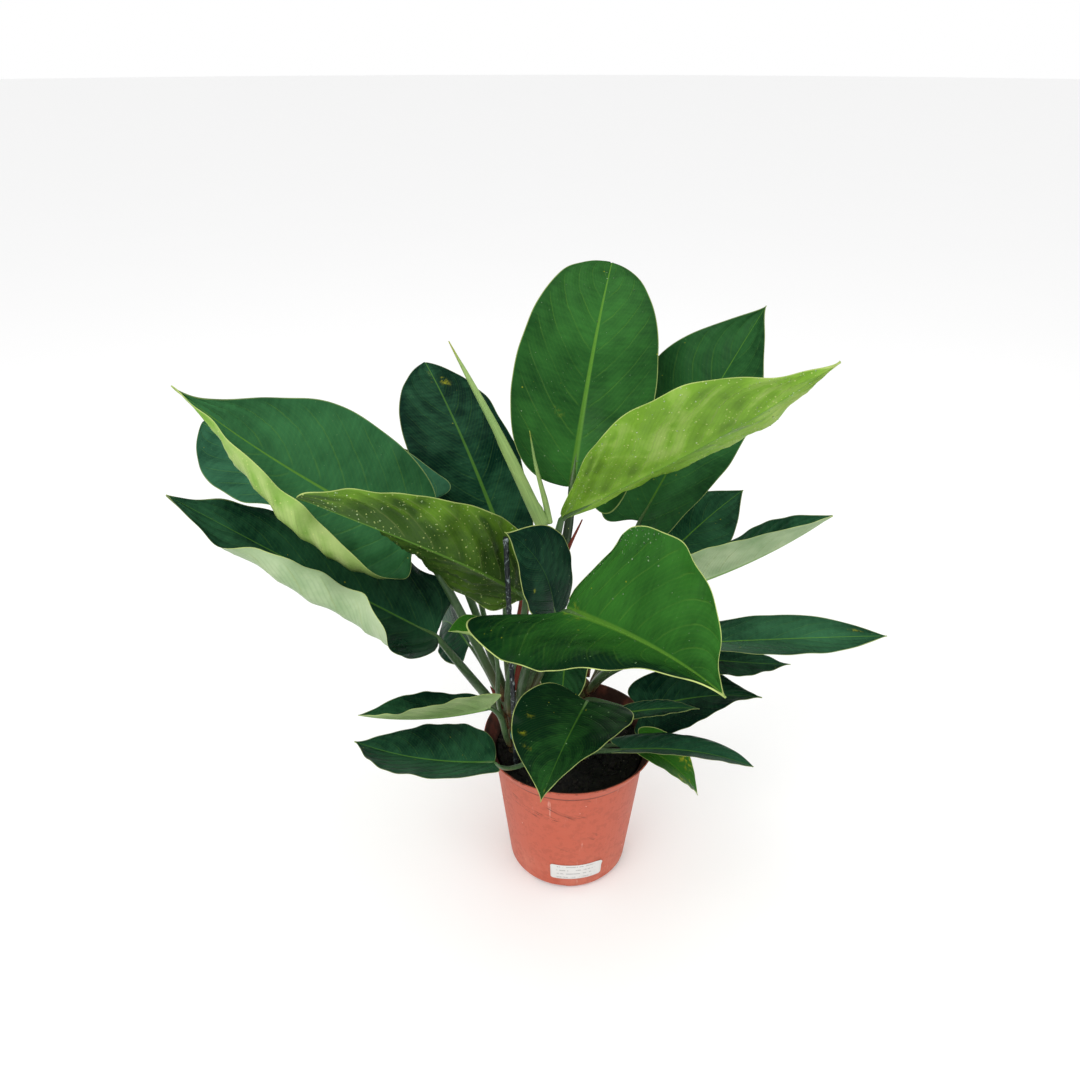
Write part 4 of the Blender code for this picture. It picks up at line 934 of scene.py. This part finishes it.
def stalk_material(settings, rust):
    """Fleshy petiole: lengthwise streaks, small round scars and a flush of red at the foot."""
    net, space = new_material("petiole_skin", IOR=1.42, Specular_IOR_Level=0.45)
    grid = net.uv("leaf_grid")
    tint = net.tint()
    streak = net.noise(net.stretch(space, 420.0, 420.0, 22.0), 1.0, 4.0, 0.6)
    cloud = net.clouds(space, scale=42.0, softness=0.25)
    base = net.over(settings.stalk, settings.deep, cloud, 0.35)
    base = net.mix(tint[0], base, DARK_STALK)
    base = net.mix(net.span(streak, 0.52, 0.80, 0.0, 0.42), base, settings.cool)
    scars = net.dots(net.stretch(space, 1.0, 1.0, 0.6), scale=190.0, size=0.20, amount=0.16)
    base = net.over(base, settings.cream, scars, 0.6)
    along = net.split(grid)[0]
    top = net.span(along, 0.70, 0.90, 0.0, 0.35)
    base = net.mix(top, base, settings.line)
    base = net.over(base, rust, tint[1], 0.7)
    height = net.plus(net.times(streak, 0.5), net.times(scars, 0.6))
    return finish(net, base, net.span(streak, 0.3, 0.8, 0.27, 0.42), height, 0.0004)


def dew_material():
    """Standing water seen against the leaf: a dark green bead with a hard highlight and painted pale glints."""
    net, space = new_material("dew_bead", IOR=1.33, Specular_IOR_Level=0.9)
    shade = net.noise(space, 900.0, 1.0)
    tint = net.tint()
    dim = net.mix(tint[0], *DEW_DIM)
    # painted highlight: pale patches that stand in for light caught in the water
    pale = net.mix(tint[0], *DEW_PAINTED_GLINT)
    base = net.mix(net.span(shade, 0.35, 0.65), dim, pale)
    return finish(net, base, net.span(shade, 0.3, 0.7, 0.03, 0.08))


def young_material(settings):
    """New leaf still rolled: pale green with close parallel lines along its length."""
    net, space = new_material("young_leaf_skin", IOR=1.42, Specular_IOR_Level=0.4)
    grid = net.uv("leaf_grid")
    lines = net.noise(net.stretch(grid, 3.0, 46.0, 1.0), 1.0, 3.0)
    cloud = net.clouds(space, scale=30.0, softness=0.25)
    base = net.mix(net.span(lines, 0.35, 0.7, 0.0, 0.55), settings.young, settings.stalk)
    base = net.over(base, settings.cream, cloud, 0.35)
    tip = net.span(net.split(grid)[0], 0.86, 1.0, 0.0, 0.7)
    base = net.mix(tip, base, settings.yellow)
    return finish(net, base, 0.42, lines, 0.0004)


def sheath_material(rust):
    """Papery old sheath: red-brown with lengthwise fibres that fade to straw."""
    net, space = new_material("sheath_paper", Specular_IOR_Level=0.25)
    grid = net.uv("leaf_grid")
    fibres = net.noise(net.stretch(grid, 4.0, 60.0, 1.0), 1.0, 4.0, 0.65)
    cloud = net.clouds(space, scale=60.0, softness=0.22)
    base = net.mix(net.span(fibres, 0.45, 0.75, 0.0, 0.55), rust, STRAW)
    base = net.over(base, OLD_SHEATH, cloud, 0.40)
    return finish(net, base, 0.6, fibres, 0.0005)


def stem_material(settings, rust):
    """Short stem: green-brown between dark rings of old leaf scars, with corky flecks."""
    net, space = new_material("stem_bark", Specular_IOR_Level=0.3)
    cloud = net.clouds(space, scale=90.0, softness=0.2)
    cork = net.dots(space, scale=420.0, size=0.4, amount=0.4)
    tint = net.tint()
    base = net.over(settings.stem, LEAF_SCAR, cloud, 0.6)
    base = net.over(base, CORK, cork, 0.4)
    base = net.over(base, rust, tint[1], 0.75)
    return finish(net, base, 0.62, net.plus(cloud, cork), 0.0006)


def peat_material(settings):
    """Damp peat: near black, with brown fibres and pale grit caught in it."""
    net, space = new_material("peat_mix", Specular_IOR_Level=0.3)
    cloud = net.clouds(space, scale=110.0, softness=0.18)
    fibre = net.noise(net.stretch(space, 900.0, 160.0, 500.0), 1.0, 3.0, 0.6, 2.0)
    tint = net.tint()
    base = net.over(settings.peat, settings.bark, cloud, 0.55)
    base = net.mix(net.span(fibre, 0.62, 0.74, 0.0, 0.35), base, FIBRE)
    base = net.mix(tint[1], base, settings.bark)
    grit = net.dots(space, scale=520.0, size=0.36, amount=0.05)
    base = net.over(base, GRIT, grit, 0.6)
    height = net.plus(net.noise(space, 420.0, 5.0, 0.7), net.times(fibre, 0.4))
    return finish(net, base, net.span(cloud, 0.0, 1.0, 0.70, 0.95), height, 0.0012)


def pot_material(settings):
    """Moulded terracotta-coloured plastic, rubbed pale low down, scuffed, and stained by peat at the rim, with painted
    shade darkening the inside wall.
    """
    net, space = new_material("pot_terracotta", IOR=1.46, Specular_IOR_Level=0.30)
    x, y, z = net.split(space)
    cloud = net.clouds(space, scale=13.0, softness=0.32)
    base = net.over(settings.body, settings.bleached, cloud, 0.14)
    low = net.span(z, 0.070, 0.0, 0.0, 0.35)
    rubbed = net.times(low, net.span(net.noise(space, 36.0, 4.0), 0.40, 0.66))
    base = net.mix(rubbed, base, settings.bleached)
    pale = use_group(net, "scuffs", Vector=space, Scale=130.0)["Mask"]
    turned = net.node("ShaderNodeMapping", {"Vector": space, "Rotation": (0.0, 1.1, 0.3)}).outputs[0]
    dark = use_group(net, "scuffs", Vector=turned, Scale=70.0)["Mask"]
    upper_wall = net.span(z, 0.06, 0.11, 0.25, 1.0)
    base = net.over(base, SCRATCH, pale, 0.45)
    base = net.over(base, settings.soiling_and_shade, net.times(dark, upper_wall), 0.80)
    # rub marks in a slanting band, two thirds up the left of the front wall
    slant = net.plus(net.times(x, 0.22), net.minus(z, POT_HEIGHT * 0.66))
    lanes = net.node("ShaderNodeCombineXYZ", {0: net.times(x, 75.0), 1: net.times(slant, 620.0)})
    rubs = net.span(net.noise(lanes.outputs[0], 1.0, 3.0, 0.6), 0.56, 0.64)
    spread = net.times(net.span(slant, -0.007, -0.003), net.span(slant, 0.004, 0.008, 1.0, 0.0))
    front = net.times(net.span(x, -0.066, -0.058), net.span(x, -0.014, -0.002, 1.0, 0.0))
    front = net.times(front, net.span(y, -0.02, -0.03))
    rubs = net.times(net.times(rubs, spread), front)
    base = net.over(base, settings.soiling_and_shade, rubs, 0.9)
    chips = net.dots(space, scale=160.0, size=0.22, amount=0.05)
    base = net.over(base, CHIP, chips, 0.55)
    # a darker band in the soiling colour along the seam under the lip
    seam_low, seam_high = POT_HEIGHT - LIP_HEIGHT - 0.0016, POT_HEIGHT - LIP_HEIGHT + 0.0018
    seam = net.times(net.span(z, seam_low - 0.0012, seam_low), net.span(z, seam_high, seam_high + 0.002, 1.0, 0.0))
    base = net.over(base, settings.soiling_and_shade, seam, 0.55)
    # peat stain and painted shade on the faces that look inwards (the inside wall is darkened as if it lay in shade),
    # and a broken crust along the rim
    facing_x, facing_y, _ = net.split(net.node("ShaderNodeTexCoord").outputs["Normal"])
    outward = net.plus(net.times(x, facing_x), net.times(y, facing_y))
    inner = net.span(outward, -0.005, -0.030)
    crust = net.times(net.span(net.noise(space, 120.0, 5.0, 0.7), 0.48, 0.60), net.span(z, 0.166, 0.172, 0.12, 0.55))
    # the inward-facing mask is partly a real stain and partly painted shade
    stain_and_shade = net.calc("MAXIMUM", net.times(inner, net.span(net.noise(space, 60.0, 4.0), 0.30, 0.6, 0.80, 1.0)), crust)
    base = net.mix(stain_and_shade, base, settings.soiling_and_shade)
    grain = net.noise(space, 900.0, 2.0)
    hoops = net.noise(net.stretch(space, 2.0, 2.0, 260.0), 1.0, 2.0)
    height = net.plus(net.times(grain, 0.35), net.times(hoops, 0.30))
    height = net.plus(height, net.times(net.plus(pale, dark), -0.4))
    rough = net.plus(net.span(cloud, 0.0, 1.0, 0.40, 0.52), net.times(stain_and_shade, 0.3))
    return finish(net, base, rough, height, 0.0003)


def paper_material(settings):
    """Blank white sticker, a little soiled, with plain grey rules in place of print."""
    net, space = new_material("sticker_paper", Specular_IOR_Level=0.3)
    grid = net.uv("leaf_grid")
    u, v, _ = net.split(grid)
    row = net.calc("FRACT", net.times(v, 4.0))
    bar = net.times(net.span(row, 0.34, 0.40), net.span(row, 0.60, 0.66, 1.0, 0.0))
    ragged = net.span(net.noise(net.stretch(grid, 26.0, 4.0, 1.0), 1.0, 1.0), 0.44, 0.50)
    inside = net.times(net.span(u, 0.10, 0.14), net.span(u, 0.74, 0.90, 1.0, 0.0))
    inside = net.times(inside, net.times(net.span(v, 0.06, 0.12), net.span(v, 0.92, 0.98, 1.0, 0.0)))
    ink = net.times(net.times(bar, ragged), net.times(inside, 0.42))
    cloud = net.clouds(space, scale=120.0, softness=0.25)
    base = net.over(settings.paper, SOILED_PAPER, cloud, 0.18)
    base = net.mix(ink, base, GREY_RULE)
    return finish(net, base, 0.55, net.noise(space, 800.0, 3.0), 0.0002)


def stake_material(settings):
    """Dark coating broken by chalky mottling in slanting bands."""
    net, space = new_material("stake_coating", Specular_IOR_Level=0.5)
    bands = net.noise(net.stretch(space, 260.0, 260.0, 120.0), 1.0, 4.0, 0.6, 0.8)
    base = net.mix(net.span(bands, 0.55, 0.66), settings.stake, settings.chalk)
    flecks = net.dots(space, scale=520.0, size=0.35, amount=0.25)
    base = net.over(base, CHALK_FLECK, flecks, 0.5)
    return finish(net, base, net.span(bands, 0.4, 0.6, 0.35, 0.75), bands, 0.0006)


def clip_material(settings):
    """Teal moulded plastic, dulled by peat dust."""
    net, space = new_material("clip_teal", Specular_IOR_Level=0.5)
    dust = net.clouds(space, scale=300.0, softness=0.2)
    base = net.over(settings.clip, PEAT_DUST, dust, 0.35)
    return finish(net, base, net.span(dust, 0.0, 1.0, 0.32, 0.6), net.noise(space, 900.0), 0.0002)


def floor_material(settings):
    """Matt pale floor that gives off a little light of its own where it is seen directly."""
    net, space = new_material("floor_matt", Specular_IOR_Level=0.1)
    shade = net.span(net.noise(space, 2.0, 2.0), 0.3, 0.7, 0.0, 0.03)
    seen = net.node("ShaderNodeLightPath").outputs["Is Camera Ray"]
    net.feed(net.shader.inputs["Emission Color"], net.mix(seen, BLACK, FLOOR_GLOW))
    net.feed(net.shader.inputs["Emission Strength"], 1.0)
    return finish(net, net.mix(shade, settings.floor, FLOOR_SHADE), 0.85)


# ---- pieces ------------------------------------------------------------------------------------
class PHILO_OT_groups(bpy.types.Operator):
    """Makes the shader effects that several finishes share"""
    bl_idname = "philo.groups"
    bl_label = "Shared Effects"

    def execute(self, context):
        make_groups()
        return {"FINISHED"}


class PHILO_OT_leaves(bpy.types.Operator):
    """Grows every open leaf with its petiole"""
    bl_idname = "philo.leaves"
    bl_label = "Leaves"

    def execute(self, context):
        settings, mix = context.scene.philo_leaf, context.scene.philo_mix
        stalk, dew = stalk_material(settings, mix.rust), dew_material()
        faces = {}
        for index, leaf in enumerate(LEAVES):
            look = PLAIN | LOOKS.get(leaf["name"], {})
            rib = look["rib"]
            if rib not in faces:
                label = f"{rib:.1f}".replace(".", "_")
                faces[rib] = (upper_material(settings, f"leaf_upper_{label}", rib),
                              lower_material(settings, f"leaf_lower_{label}", rib))
            skin = Skin()
            upper, lower, out = add_blade(skin, leaf, look, settings, seed=index * 3.7)
            add_petiole(skin, leaf, look)
            flipped = leaf["name"] in ("leaf_right_rolled", "leaf_front_left")
            add_dew(skin, upper, lower, out, look, flipped, random.Random(index))
            settle(skin, leaf["name"], (*faces[rib], stalk, dew), "leaf_skin")
        return {"FINISHED"}


def rolled(shares, turns):
    """A rolled blade: the skin laps over itself once round, along a seam that winds up the roll."""
    wind = (turns / (2 * math.pi) + shares * 1.4) % 1.0
    return 0.86 + 0.20 * wind


def pleated(shares, turns):
    """A folded papery point, flatter from front to back."""
    return 0.55 + 0.45 * np.abs(np.cos(turns)) + 0 * shares


class PHILO_OT_new_leaf(bpy.types.Operator):
    """Grows the new leaf, still rolled, and the papery bract beside it"""
    bl_idname = "philo.new_leaf"
    bl_label = "New Leaf"

    def execute(self, context):
        settings = context.scene.philo_leaf
        skin_of_young = young_material(settings)
        for node, line, radii, shape in (("leaf_spear", SPEAR, SPEAR_R, rolled),
                                         ("spear_bract", BRACT, BRACT_R, pleated)):
            shares = np.linspace(0, 1, 40)
            width = np.interp(shares, np.linspace(0, 1, len(radii)), radii)
            skin = Skin()
            tube(skin, along_line(line, shares), width, (0, 1, 0), 0, shape, SPEAR_SIDES)
            settle(skin, node, (skin_of_young,), "young_leaf")
        return {"FINISHED"}


def crescent(skin, line, half_widths, facing):
    """A thin gutter-shaped sheath along a line, open towards facing."""
    shares = np.linspace(0, 1, SHEATH_ROWS)
    path = along_line(line, shares)
    width = np.interp(shares, np.linspace(0, 1, len(half_widths)), half_widths)
    side, up = ring_frames(path, facing)
    wrap = np.radians(np.linspace(-SHEATH_WRAP, SHEATH_WRAP, SHEATH_POINTS))
    outer = np.stack([np.cos(wrap), np.sin(wrap)], -1)
    thick = SHEATH_T / np.maximum(width, 0.0006)
    count = 2 * SHEATH_POINTS
    rings = []
    for k in range(len(path)):
        inner = outer[::-1] * (1 - min(thick[k], 0.4))
        section = np.vstack([outer, inner]) * width[k]
        fray = 1 + 0.05 * np.sin(np.arange(count) * 1.7 + k * 0.6)
        section = section * fray[:, None]
        rings.append(path[k] + side[k] * section[:, :1] + up[k] * section[:, 1:])
    grid = np.stack(np.broadcast_arrays(shares[:, None], np.linspace(0, 1, count)[None, :]), -1)
    first = skin.add_points(np.array(rings), grid, (1, 1), (0.5, 0, 0, 1))
    skin.add_faces(grid_faces(first, len(path), count, closed=True), 0)
    last = first + (len(path) - 1) * count
    for start, flip in ((first, True), (last, False)):
        for i in range(SHEATH_POINTS - 1):
            quad = (start + i, start + i + 1, start + count - 2 - i, start + count - 1 - i)
            skin.add_faces([quad[::-1] if flip else quad], 0)


class PHILO_OT_stems(bpy.types.Operator):
    """Grows the short ringed stems and the old leaf sheaths"""
    bl_idname = "philo.stems"
    bl_label = "Stems and Sheaths"

    def execute(self, context):
        mix = context.scene.philo_mix
        bark, paper = stem_material(mix, mix.rust), sheath_material(mix.rust)
        for shoot, node in STEM_NODES.items():
            self.add_stem(shoot, node, bark)
        for node, (line, half_widths) in SHEATHS.items():
            skin = Skin()
            crescent(skin, line, half_widths, (0.4, -1.0, 0.0))
            settle(skin, node, (paper,), "sheath_skin")
        return {"FINISHED"}

    def add_stem(self, shoot, node, bark):
        x, y, radius, tall = SHOOTS[shoot]
        steps = 60
        z = np.linspace(-0.004, tall, steps)
        path = np.stack([np.full(steps, x), np.full(steps, y), z], -1)
        path[:, 0] += 0.0006 * np.sin(z * 210)
        rings = np.abs(np.sin(z * math.pi / 0.011))
        crown = np.sqrt(np.clip(1 - np.clip((z - tall + radius) / radius, 0, 1) ** 2, 0.02, 1))
        radii = radius * (0.90 + 0.10 * rings ** 0.4) * crown
        tint = np.zeros((steps, STEM_SIDES, 4))
        tint[..., 0], tint[..., 3] = 0.5, 1
        tint[..., 1] = (1 - rings ** 0.25)[:, None]

        def lumps(shares, turns):
            return 1 + 0.04 * np.sin(turns * 3 + shares * 9) * np.sin(shares * 21)

        skin = Skin()
        tube(skin, path, radii, (0, 1, 0), 0, lumps, STEM_SIDES, tint)
        settle(skin, node, (bark,), "stem_skin")


class PHILO_OT_mix(bpy.types.Operator):
    """Fills the pot with crumbly potting mix"""
    bl_idname = "philo.mix"
    bl_label = "Potting Mix"

    def execute(self, context):
        settings = context.scene.philo_mix
        low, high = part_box("soil")
        peat = peat_material(settings)
        brim = BODY_TOP_R - 0.0032
        skin = Skin()
        radii = brim * np.linspace(0.004, 1, MIX_RINGS) ** 0.8
        angle = np.arange(MIX_TURNS) * 2 * math.pi / MIX_TURNS
        x = radii[:, None] * np.cos(angle)
        y = radii[:, None] * np.sin(angle)
        flat = np.stack([x, y, np.zeros_like(x)], -1)
        top = high.z - 0.0008 - 0.0035 * smooth_step(brim - 0.016, brim, radii)[:, None]
        height = top
        for rise, scale in ((0.0014, 45.0), (0.0010, 150.0), (0.0006, 420.0)):
            height = height + rise * noise_at(flat, scale)
        surface = np.stack([x, y, height], -1)
        skirt = []
        for z, radius in ((high.z - 0.010, brim - 0.0004), (0.090, BODY_TOP_R - 0.0105), (0.014, 0.0645),
                          (low.z, 0.0560)):
            skirt.append(np.stack([radius * np.cos(angle), radius * np.sin(angle), np.full(MIX_TURNS, z)], -1))
        skin.add_loft(np.concatenate([surface, np.array(skirt)]), 0, flip=True)
        self.scatter(skin, settings, high.z, brim)
        skin.make("fine_soil", (peat,), "soil_mix", "soil")
        return {"FINISHED"}

    def scatter(self, skin, settings, level, brim):
        """Crumbs of peat and bark: lumpy bits of unlike size, pressed a little into the mix."""
        maker = random.Random(11)
        bm = bmesh.new()
        bmesh.ops.create_icosphere(bm, subdivisions=2, radius=1.0)
        ball = np.array([v.co[:] for v in bm.verts])
        faces = [tuple(v.index for v in face.verts) for face in bm.faces]
        bm.free()
        for k in range(settings.crumbs):
            away = (brim - 0.003) * math.sqrt(maker.random())
            turn = maker.uniform(0, 2 * math.pi)
            size = settings.crumb * (0.45 + 1.5 * maker.random() ** 3)
            squash = np.array([maker.uniform(0.7, 1.7), maker.uniform(0.7, 1.2), maker.uniform(0.45, 0.9)])
            lump = ball * (1 + 0.34 * noise_at(ball + k, 1.3)[:, None]) * squash * size
            c, s = math.cos(turn * 3), math.sin(turn * 3)
            lump = lump @ np.array([[c, s, 0], [-s, c, 0], [0, 0, 1]])
            drop = 0.0030 * smooth_step(brim - 0.016, brim, away)
            lump = lump + (away * math.cos(turn), away * math.sin(turn), level - 0.0004 - drop)
            lump[:, 2] = np.minimum(lump[:, 2], POT_HEIGHT - 0.002)
            bark = 1.0 if maker.random() < 0.14 else maker.uniform(0, 0.35)
            first = skin.add_points(lump, (0.5, 0.5), (1, 1), (0.5, bark, 0, 1))
            skin.add_faces([tuple(first + i for i in face) for face in faces], 0)


class PHILO_OT_pot(bpy.types.Operator):
    """Gives the pot its scuffed terracotta plastic and lays the blank sticker on it"""
    bl_idname = "philo.pot"
    bl_label = "Pot and Sticker"

    def execute(self, context):
        settings = context.scene.philo_pot
        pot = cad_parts["pot"]
        pot.data.materials.clear()
        pot.data.materials.append(pot_material(settings))
        self.add_sticker(settings)
        return {"FINISHED"}

    def add_sticker(self, settings):
        """The sticker bends round the wall, with rounded corners and one corner a little lifted."""
        low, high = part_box("pot_label")
        middle = (low + high) / 2
        turn0 = math.atan2(middle.y, middle.x)
        rows, columns = 15, 33
        v, w = np.meshgrid(np.linspace(0, 1, rows), np.linspace(0, 1, columns), indexing="ij")
        from_end = np.minimum(w, 1 - w) * STICKER_W
        cut = np.clip(STICKER_CORNER - from_end, 0, STICKER_CORNER)
        trim = STICKER_CORNER - np.sqrt(np.clip(STICKER_CORNER ** 2 - cut ** 2, 0, None))
        z = middle.z + (v - 0.5) * (high.z - low.z - 2 * trim)
        slope = (BODY_TOP_R - FOOT_TOP_R) / (POT_HEIGHT - LIP_HEIGHT - FOOT_ROUND_H)
        wall = FOOT_TOP_R + slope * (z - FOOT_ROUND_H) + 0.00035
        wall = wall + 0.0010 * smooth_step(0.86, 1.0, w) * smooth_step(0.6, 1.0, v)
        turn = turn0 + (w - 0.5) * STICKER_W / FOOT_TOP_R
        skin = Skin()
        layers = []
        for out in (STICKER_T, 0.0):
            points = np.stack([(wall + out) * np.cos(turn), (wall + out) * np.sin(turn), z], -1)
            layers.append(skin.add_points(points, np.stack([w, v], -1), (1, 1), (0.5, 0, 0, 1)))
        front, back = layers
        skin.add_faces(grid_faces(front, rows, columns), 0)
        skin.add_faces(grid_faces(back, rows, columns, flip=True), 0)
        rim = [*range(columns)] + [k * columns + columns - 1 for k in range(1, rows)]
        rim += [(rows - 1) * columns + i for i in reversed(range(columns - 1))]
        rim += [k * columns for k in reversed(range(1, rows - 1))]
        for k, a in enumerate(rim):
            b = rim[(k + 1) % len(rim)]
            skin.add_faces([(back + a, back + b, front + b, front + a)], 0)
        skin.make("sticker", (paper_material(settings),), "label_paper", "pot_label")


class PHILO_OT_stake(bpy.types.Operator):
    """Sets the mottled support stake and its clip"""
    bl_idname = "philo.stake"
    bl_label = "Stake and Clip"

    def execute(self, context):
        settings = context.scene.philo_pot
        foot, top = np.array(STAKE_FOOT), np.array(STAKE_TOP)
        shares = np.linspace(0, 1, 150)[:, None]
        path = foot + (top - foot) * shares
        path[0, 2] -= 0.006

        def coated(along, turns):
            twist = np.sin(turns * 2 + along * 170)
            return 1 + 0.10 * twist + 0.05 * np.sin(turns * 5 - along * 90)

        skin = Skin()
        tube(skin, path, np.full(len(path), STAKE_R * 0.95), (0, 1, 0), 0, coated, STAKE_SIDES)
        settle(skin, "support_stake", (stake_material(settings),), "stake_plastic", "fine_stake")
        self.add_clip(settings, foot, top)
        return {"FINISHED"}

    def add_clip(self, settings, foot, top):
        """A C-shaped clip with rounded edges, open at the back, and two short ears."""
        axis = unit(top - foot)
        middle = foot + (top - foot) * CLIP_AT
        side = unit(np.cross(axis, (0.0, 1.0, 0.0)))
        up = np.cross(side, axis)
        turns = np.radians(np.linspace(-CLIP_TURN, CLIP_TURN, 46))
        inner, outer = STAKE_R + 0.0002, CLIP_R
        skin = Skin()
        outline = [(inner, -0.42), (inner, 0.42), (inner + CLIP_BEVEL, 0.5), (outer - CLIP_BEVEL, 0.5),
                   (outer, 0.42), (outer, -0.42), (outer - CLIP_BEVEL, -0.5), (inner + CLIP_BEVEL, -0.5)]
        rings = []
        for turn in turns:
            flare = CLIP_FLARE * smooth_step(0.86, 1.0, abs(turn) / turns[-1])
            away = side * math.sin(turn) - up * math.cos(turn)
            rings.append([middle + away * (r + flare) + axis * (CLIP_W * h) for r, h in outline])
        skin.add_loft(rings, 0)
        settle(skin, "stake_clip", (clip_material(settings),), "clip_plastic", "fine_clip")


# ---- stage -------------------------------------------------------------------------------------
class PHILO_OT_stage(bpy.types.Operator):
    """Sets a plain pale floor, soft studio light and the camera"""
    bl_idname = "philo.stage"
    bl_label = "Stage"

    def execute(self, context):
        settings = context.scene.philo_stage
        self.add_floor(settings)
        self.add_light("key_light", settings.key, (-0.9, -1.3, 2.0), 1.3)
        self.add_light("fill_light", settings.fill, (1.5, -0.7, 1.3), 1.6)
        self.add_light("top_light", settings.fill, (0.1, 0.5, 2.2), 1.4)
        self.add_world(context)
        self.add_camera(context, settings)
        return {"FINISHED"}

    def add_floor(self, settings):
        bpy.ops.mesh.primitive_circle_add(vertices=96, radius=FLOOR_R, fill_type="NGON", location=(0, 0, 0))
        floor = bpy.context.active_object
        floor.name = "floor"
        floor.data.materials.append(floor_material(settings))

    def add_light(self, name, power, where, size):
        lamp = bpy.data.lights.new(name, "AREA")
        lamp.energy = power
        lamp.shape = "DISK"
        lamp.size = size
        holder = bpy.data.objects.new(name, lamp)
        holder.location = where
        holder.rotation_euler = (Vector((0, 0, 0.3)) - Vector(where)).to_track_quat("-Z", "Y").to_euler()
        bpy.context.scene.collection.objects.link(holder)

    def add_world(self, context):
        """White behind everything, and a dimmer surround that lights the plant."""
        world = bpy.data.worlds.new("studio")
        context.scene.world = world
        world.use_nodes = True
        net = Net(world.node_tree)
        path = net.node("ShaderNodeLightPath")
        seen = world.node_tree.nodes["Background"]
        seen.inputs["Color"].default_value = (1, 1, 1, 1)
        strength = net.minus(0.92, net.times(path.outputs["Is Glossy Ray"], 0.77))
        strength = net.calc("MAXIMUM", strength, path.outputs["Is Camera Ray"])
        net.feed(seen.inputs["Strength"], strength)

    def add_camera(self, context, settings):
        lens = bpy.data.cameras.new("camera")
        lens.lens = settings.lens
        lens.sensor_width = 36.0
        camera = bpy.data.objects.new("camera", lens)
        camera.location = settings.eye
        camera.rotation_euler = (math.pi / 2 - settings.tilt, 0.0, settings.turn)
        context.scene.collection.objects.link(camera)
        context.scene.camera = camera
        context.scene.view_settings.view_transform = "Standard"


class PHILO_PT_panel(bpy.types.Panel):
    """Sizes, colours and the steps that make the plant"""
    bl_label = "Potted Philodendron"
    bl_idname = "PHILO_PT_panel"
    bl_space_type = "VIEW_3D"
    bl_region_type = "UI"
    bl_category = "Plant"

    def draw(self, context):
        layout = self.layout
        for step in STEPS:
            layout.operator(step.bl_idname)
        for group in (context.scene.philo_leaf, context.scene.philo_pot, context.scene.philo_mix,
                      context.scene.philo_stage):
            box = layout.box()
            for key in group.__annotations__:
                box.prop(group, key)


STEPS = (PHILO_OT_groups, PHILO_OT_pot, PHILO_OT_mix, PHILO_OT_stems, PHILO_OT_leaves, PHILO_OT_new_leaf,
         PHILO_OT_stake, PHILO_OT_stage)
GROUPS = {"philo_leaf": PHILO_PG_leaf, "philo_pot": PHILO_PG_pot, "philo_mix": PHILO_PG_mix,
          "philo_stage": PHILO_PG_stage}


def register():
    for name, group in GROUPS.items():
        bpy.utils.register_class(group)
        setattr(bpy.types.Scene, name, bpy.props.PointerProperty(type=group))
    for item in (*STEPS, PHILO_PT_panel):
        bpy.utils.register_class(item)


def unregister():
    for item in (PHILO_PT_panel, *reversed(STEPS)):
        bpy.utils.unregister_class(item)
    for name, group in GROUPS.items():
        delattr(bpy.types.Scene, name)
        bpy.utils.unregister_class(group)


def main():
    register()
    bpy.ops.philo.groups()
    bpy.ops.philo.pot()
    bpy.ops.philo.mix()
    bpy.ops.philo.stems()
    bpy.ops.philo.leaves()
    bpy.ops.philo.new_leaf()
    bpy.ops.philo.stake()
    bpy.ops.philo.stage()
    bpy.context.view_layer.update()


if __name__ == "__main__":
    main()
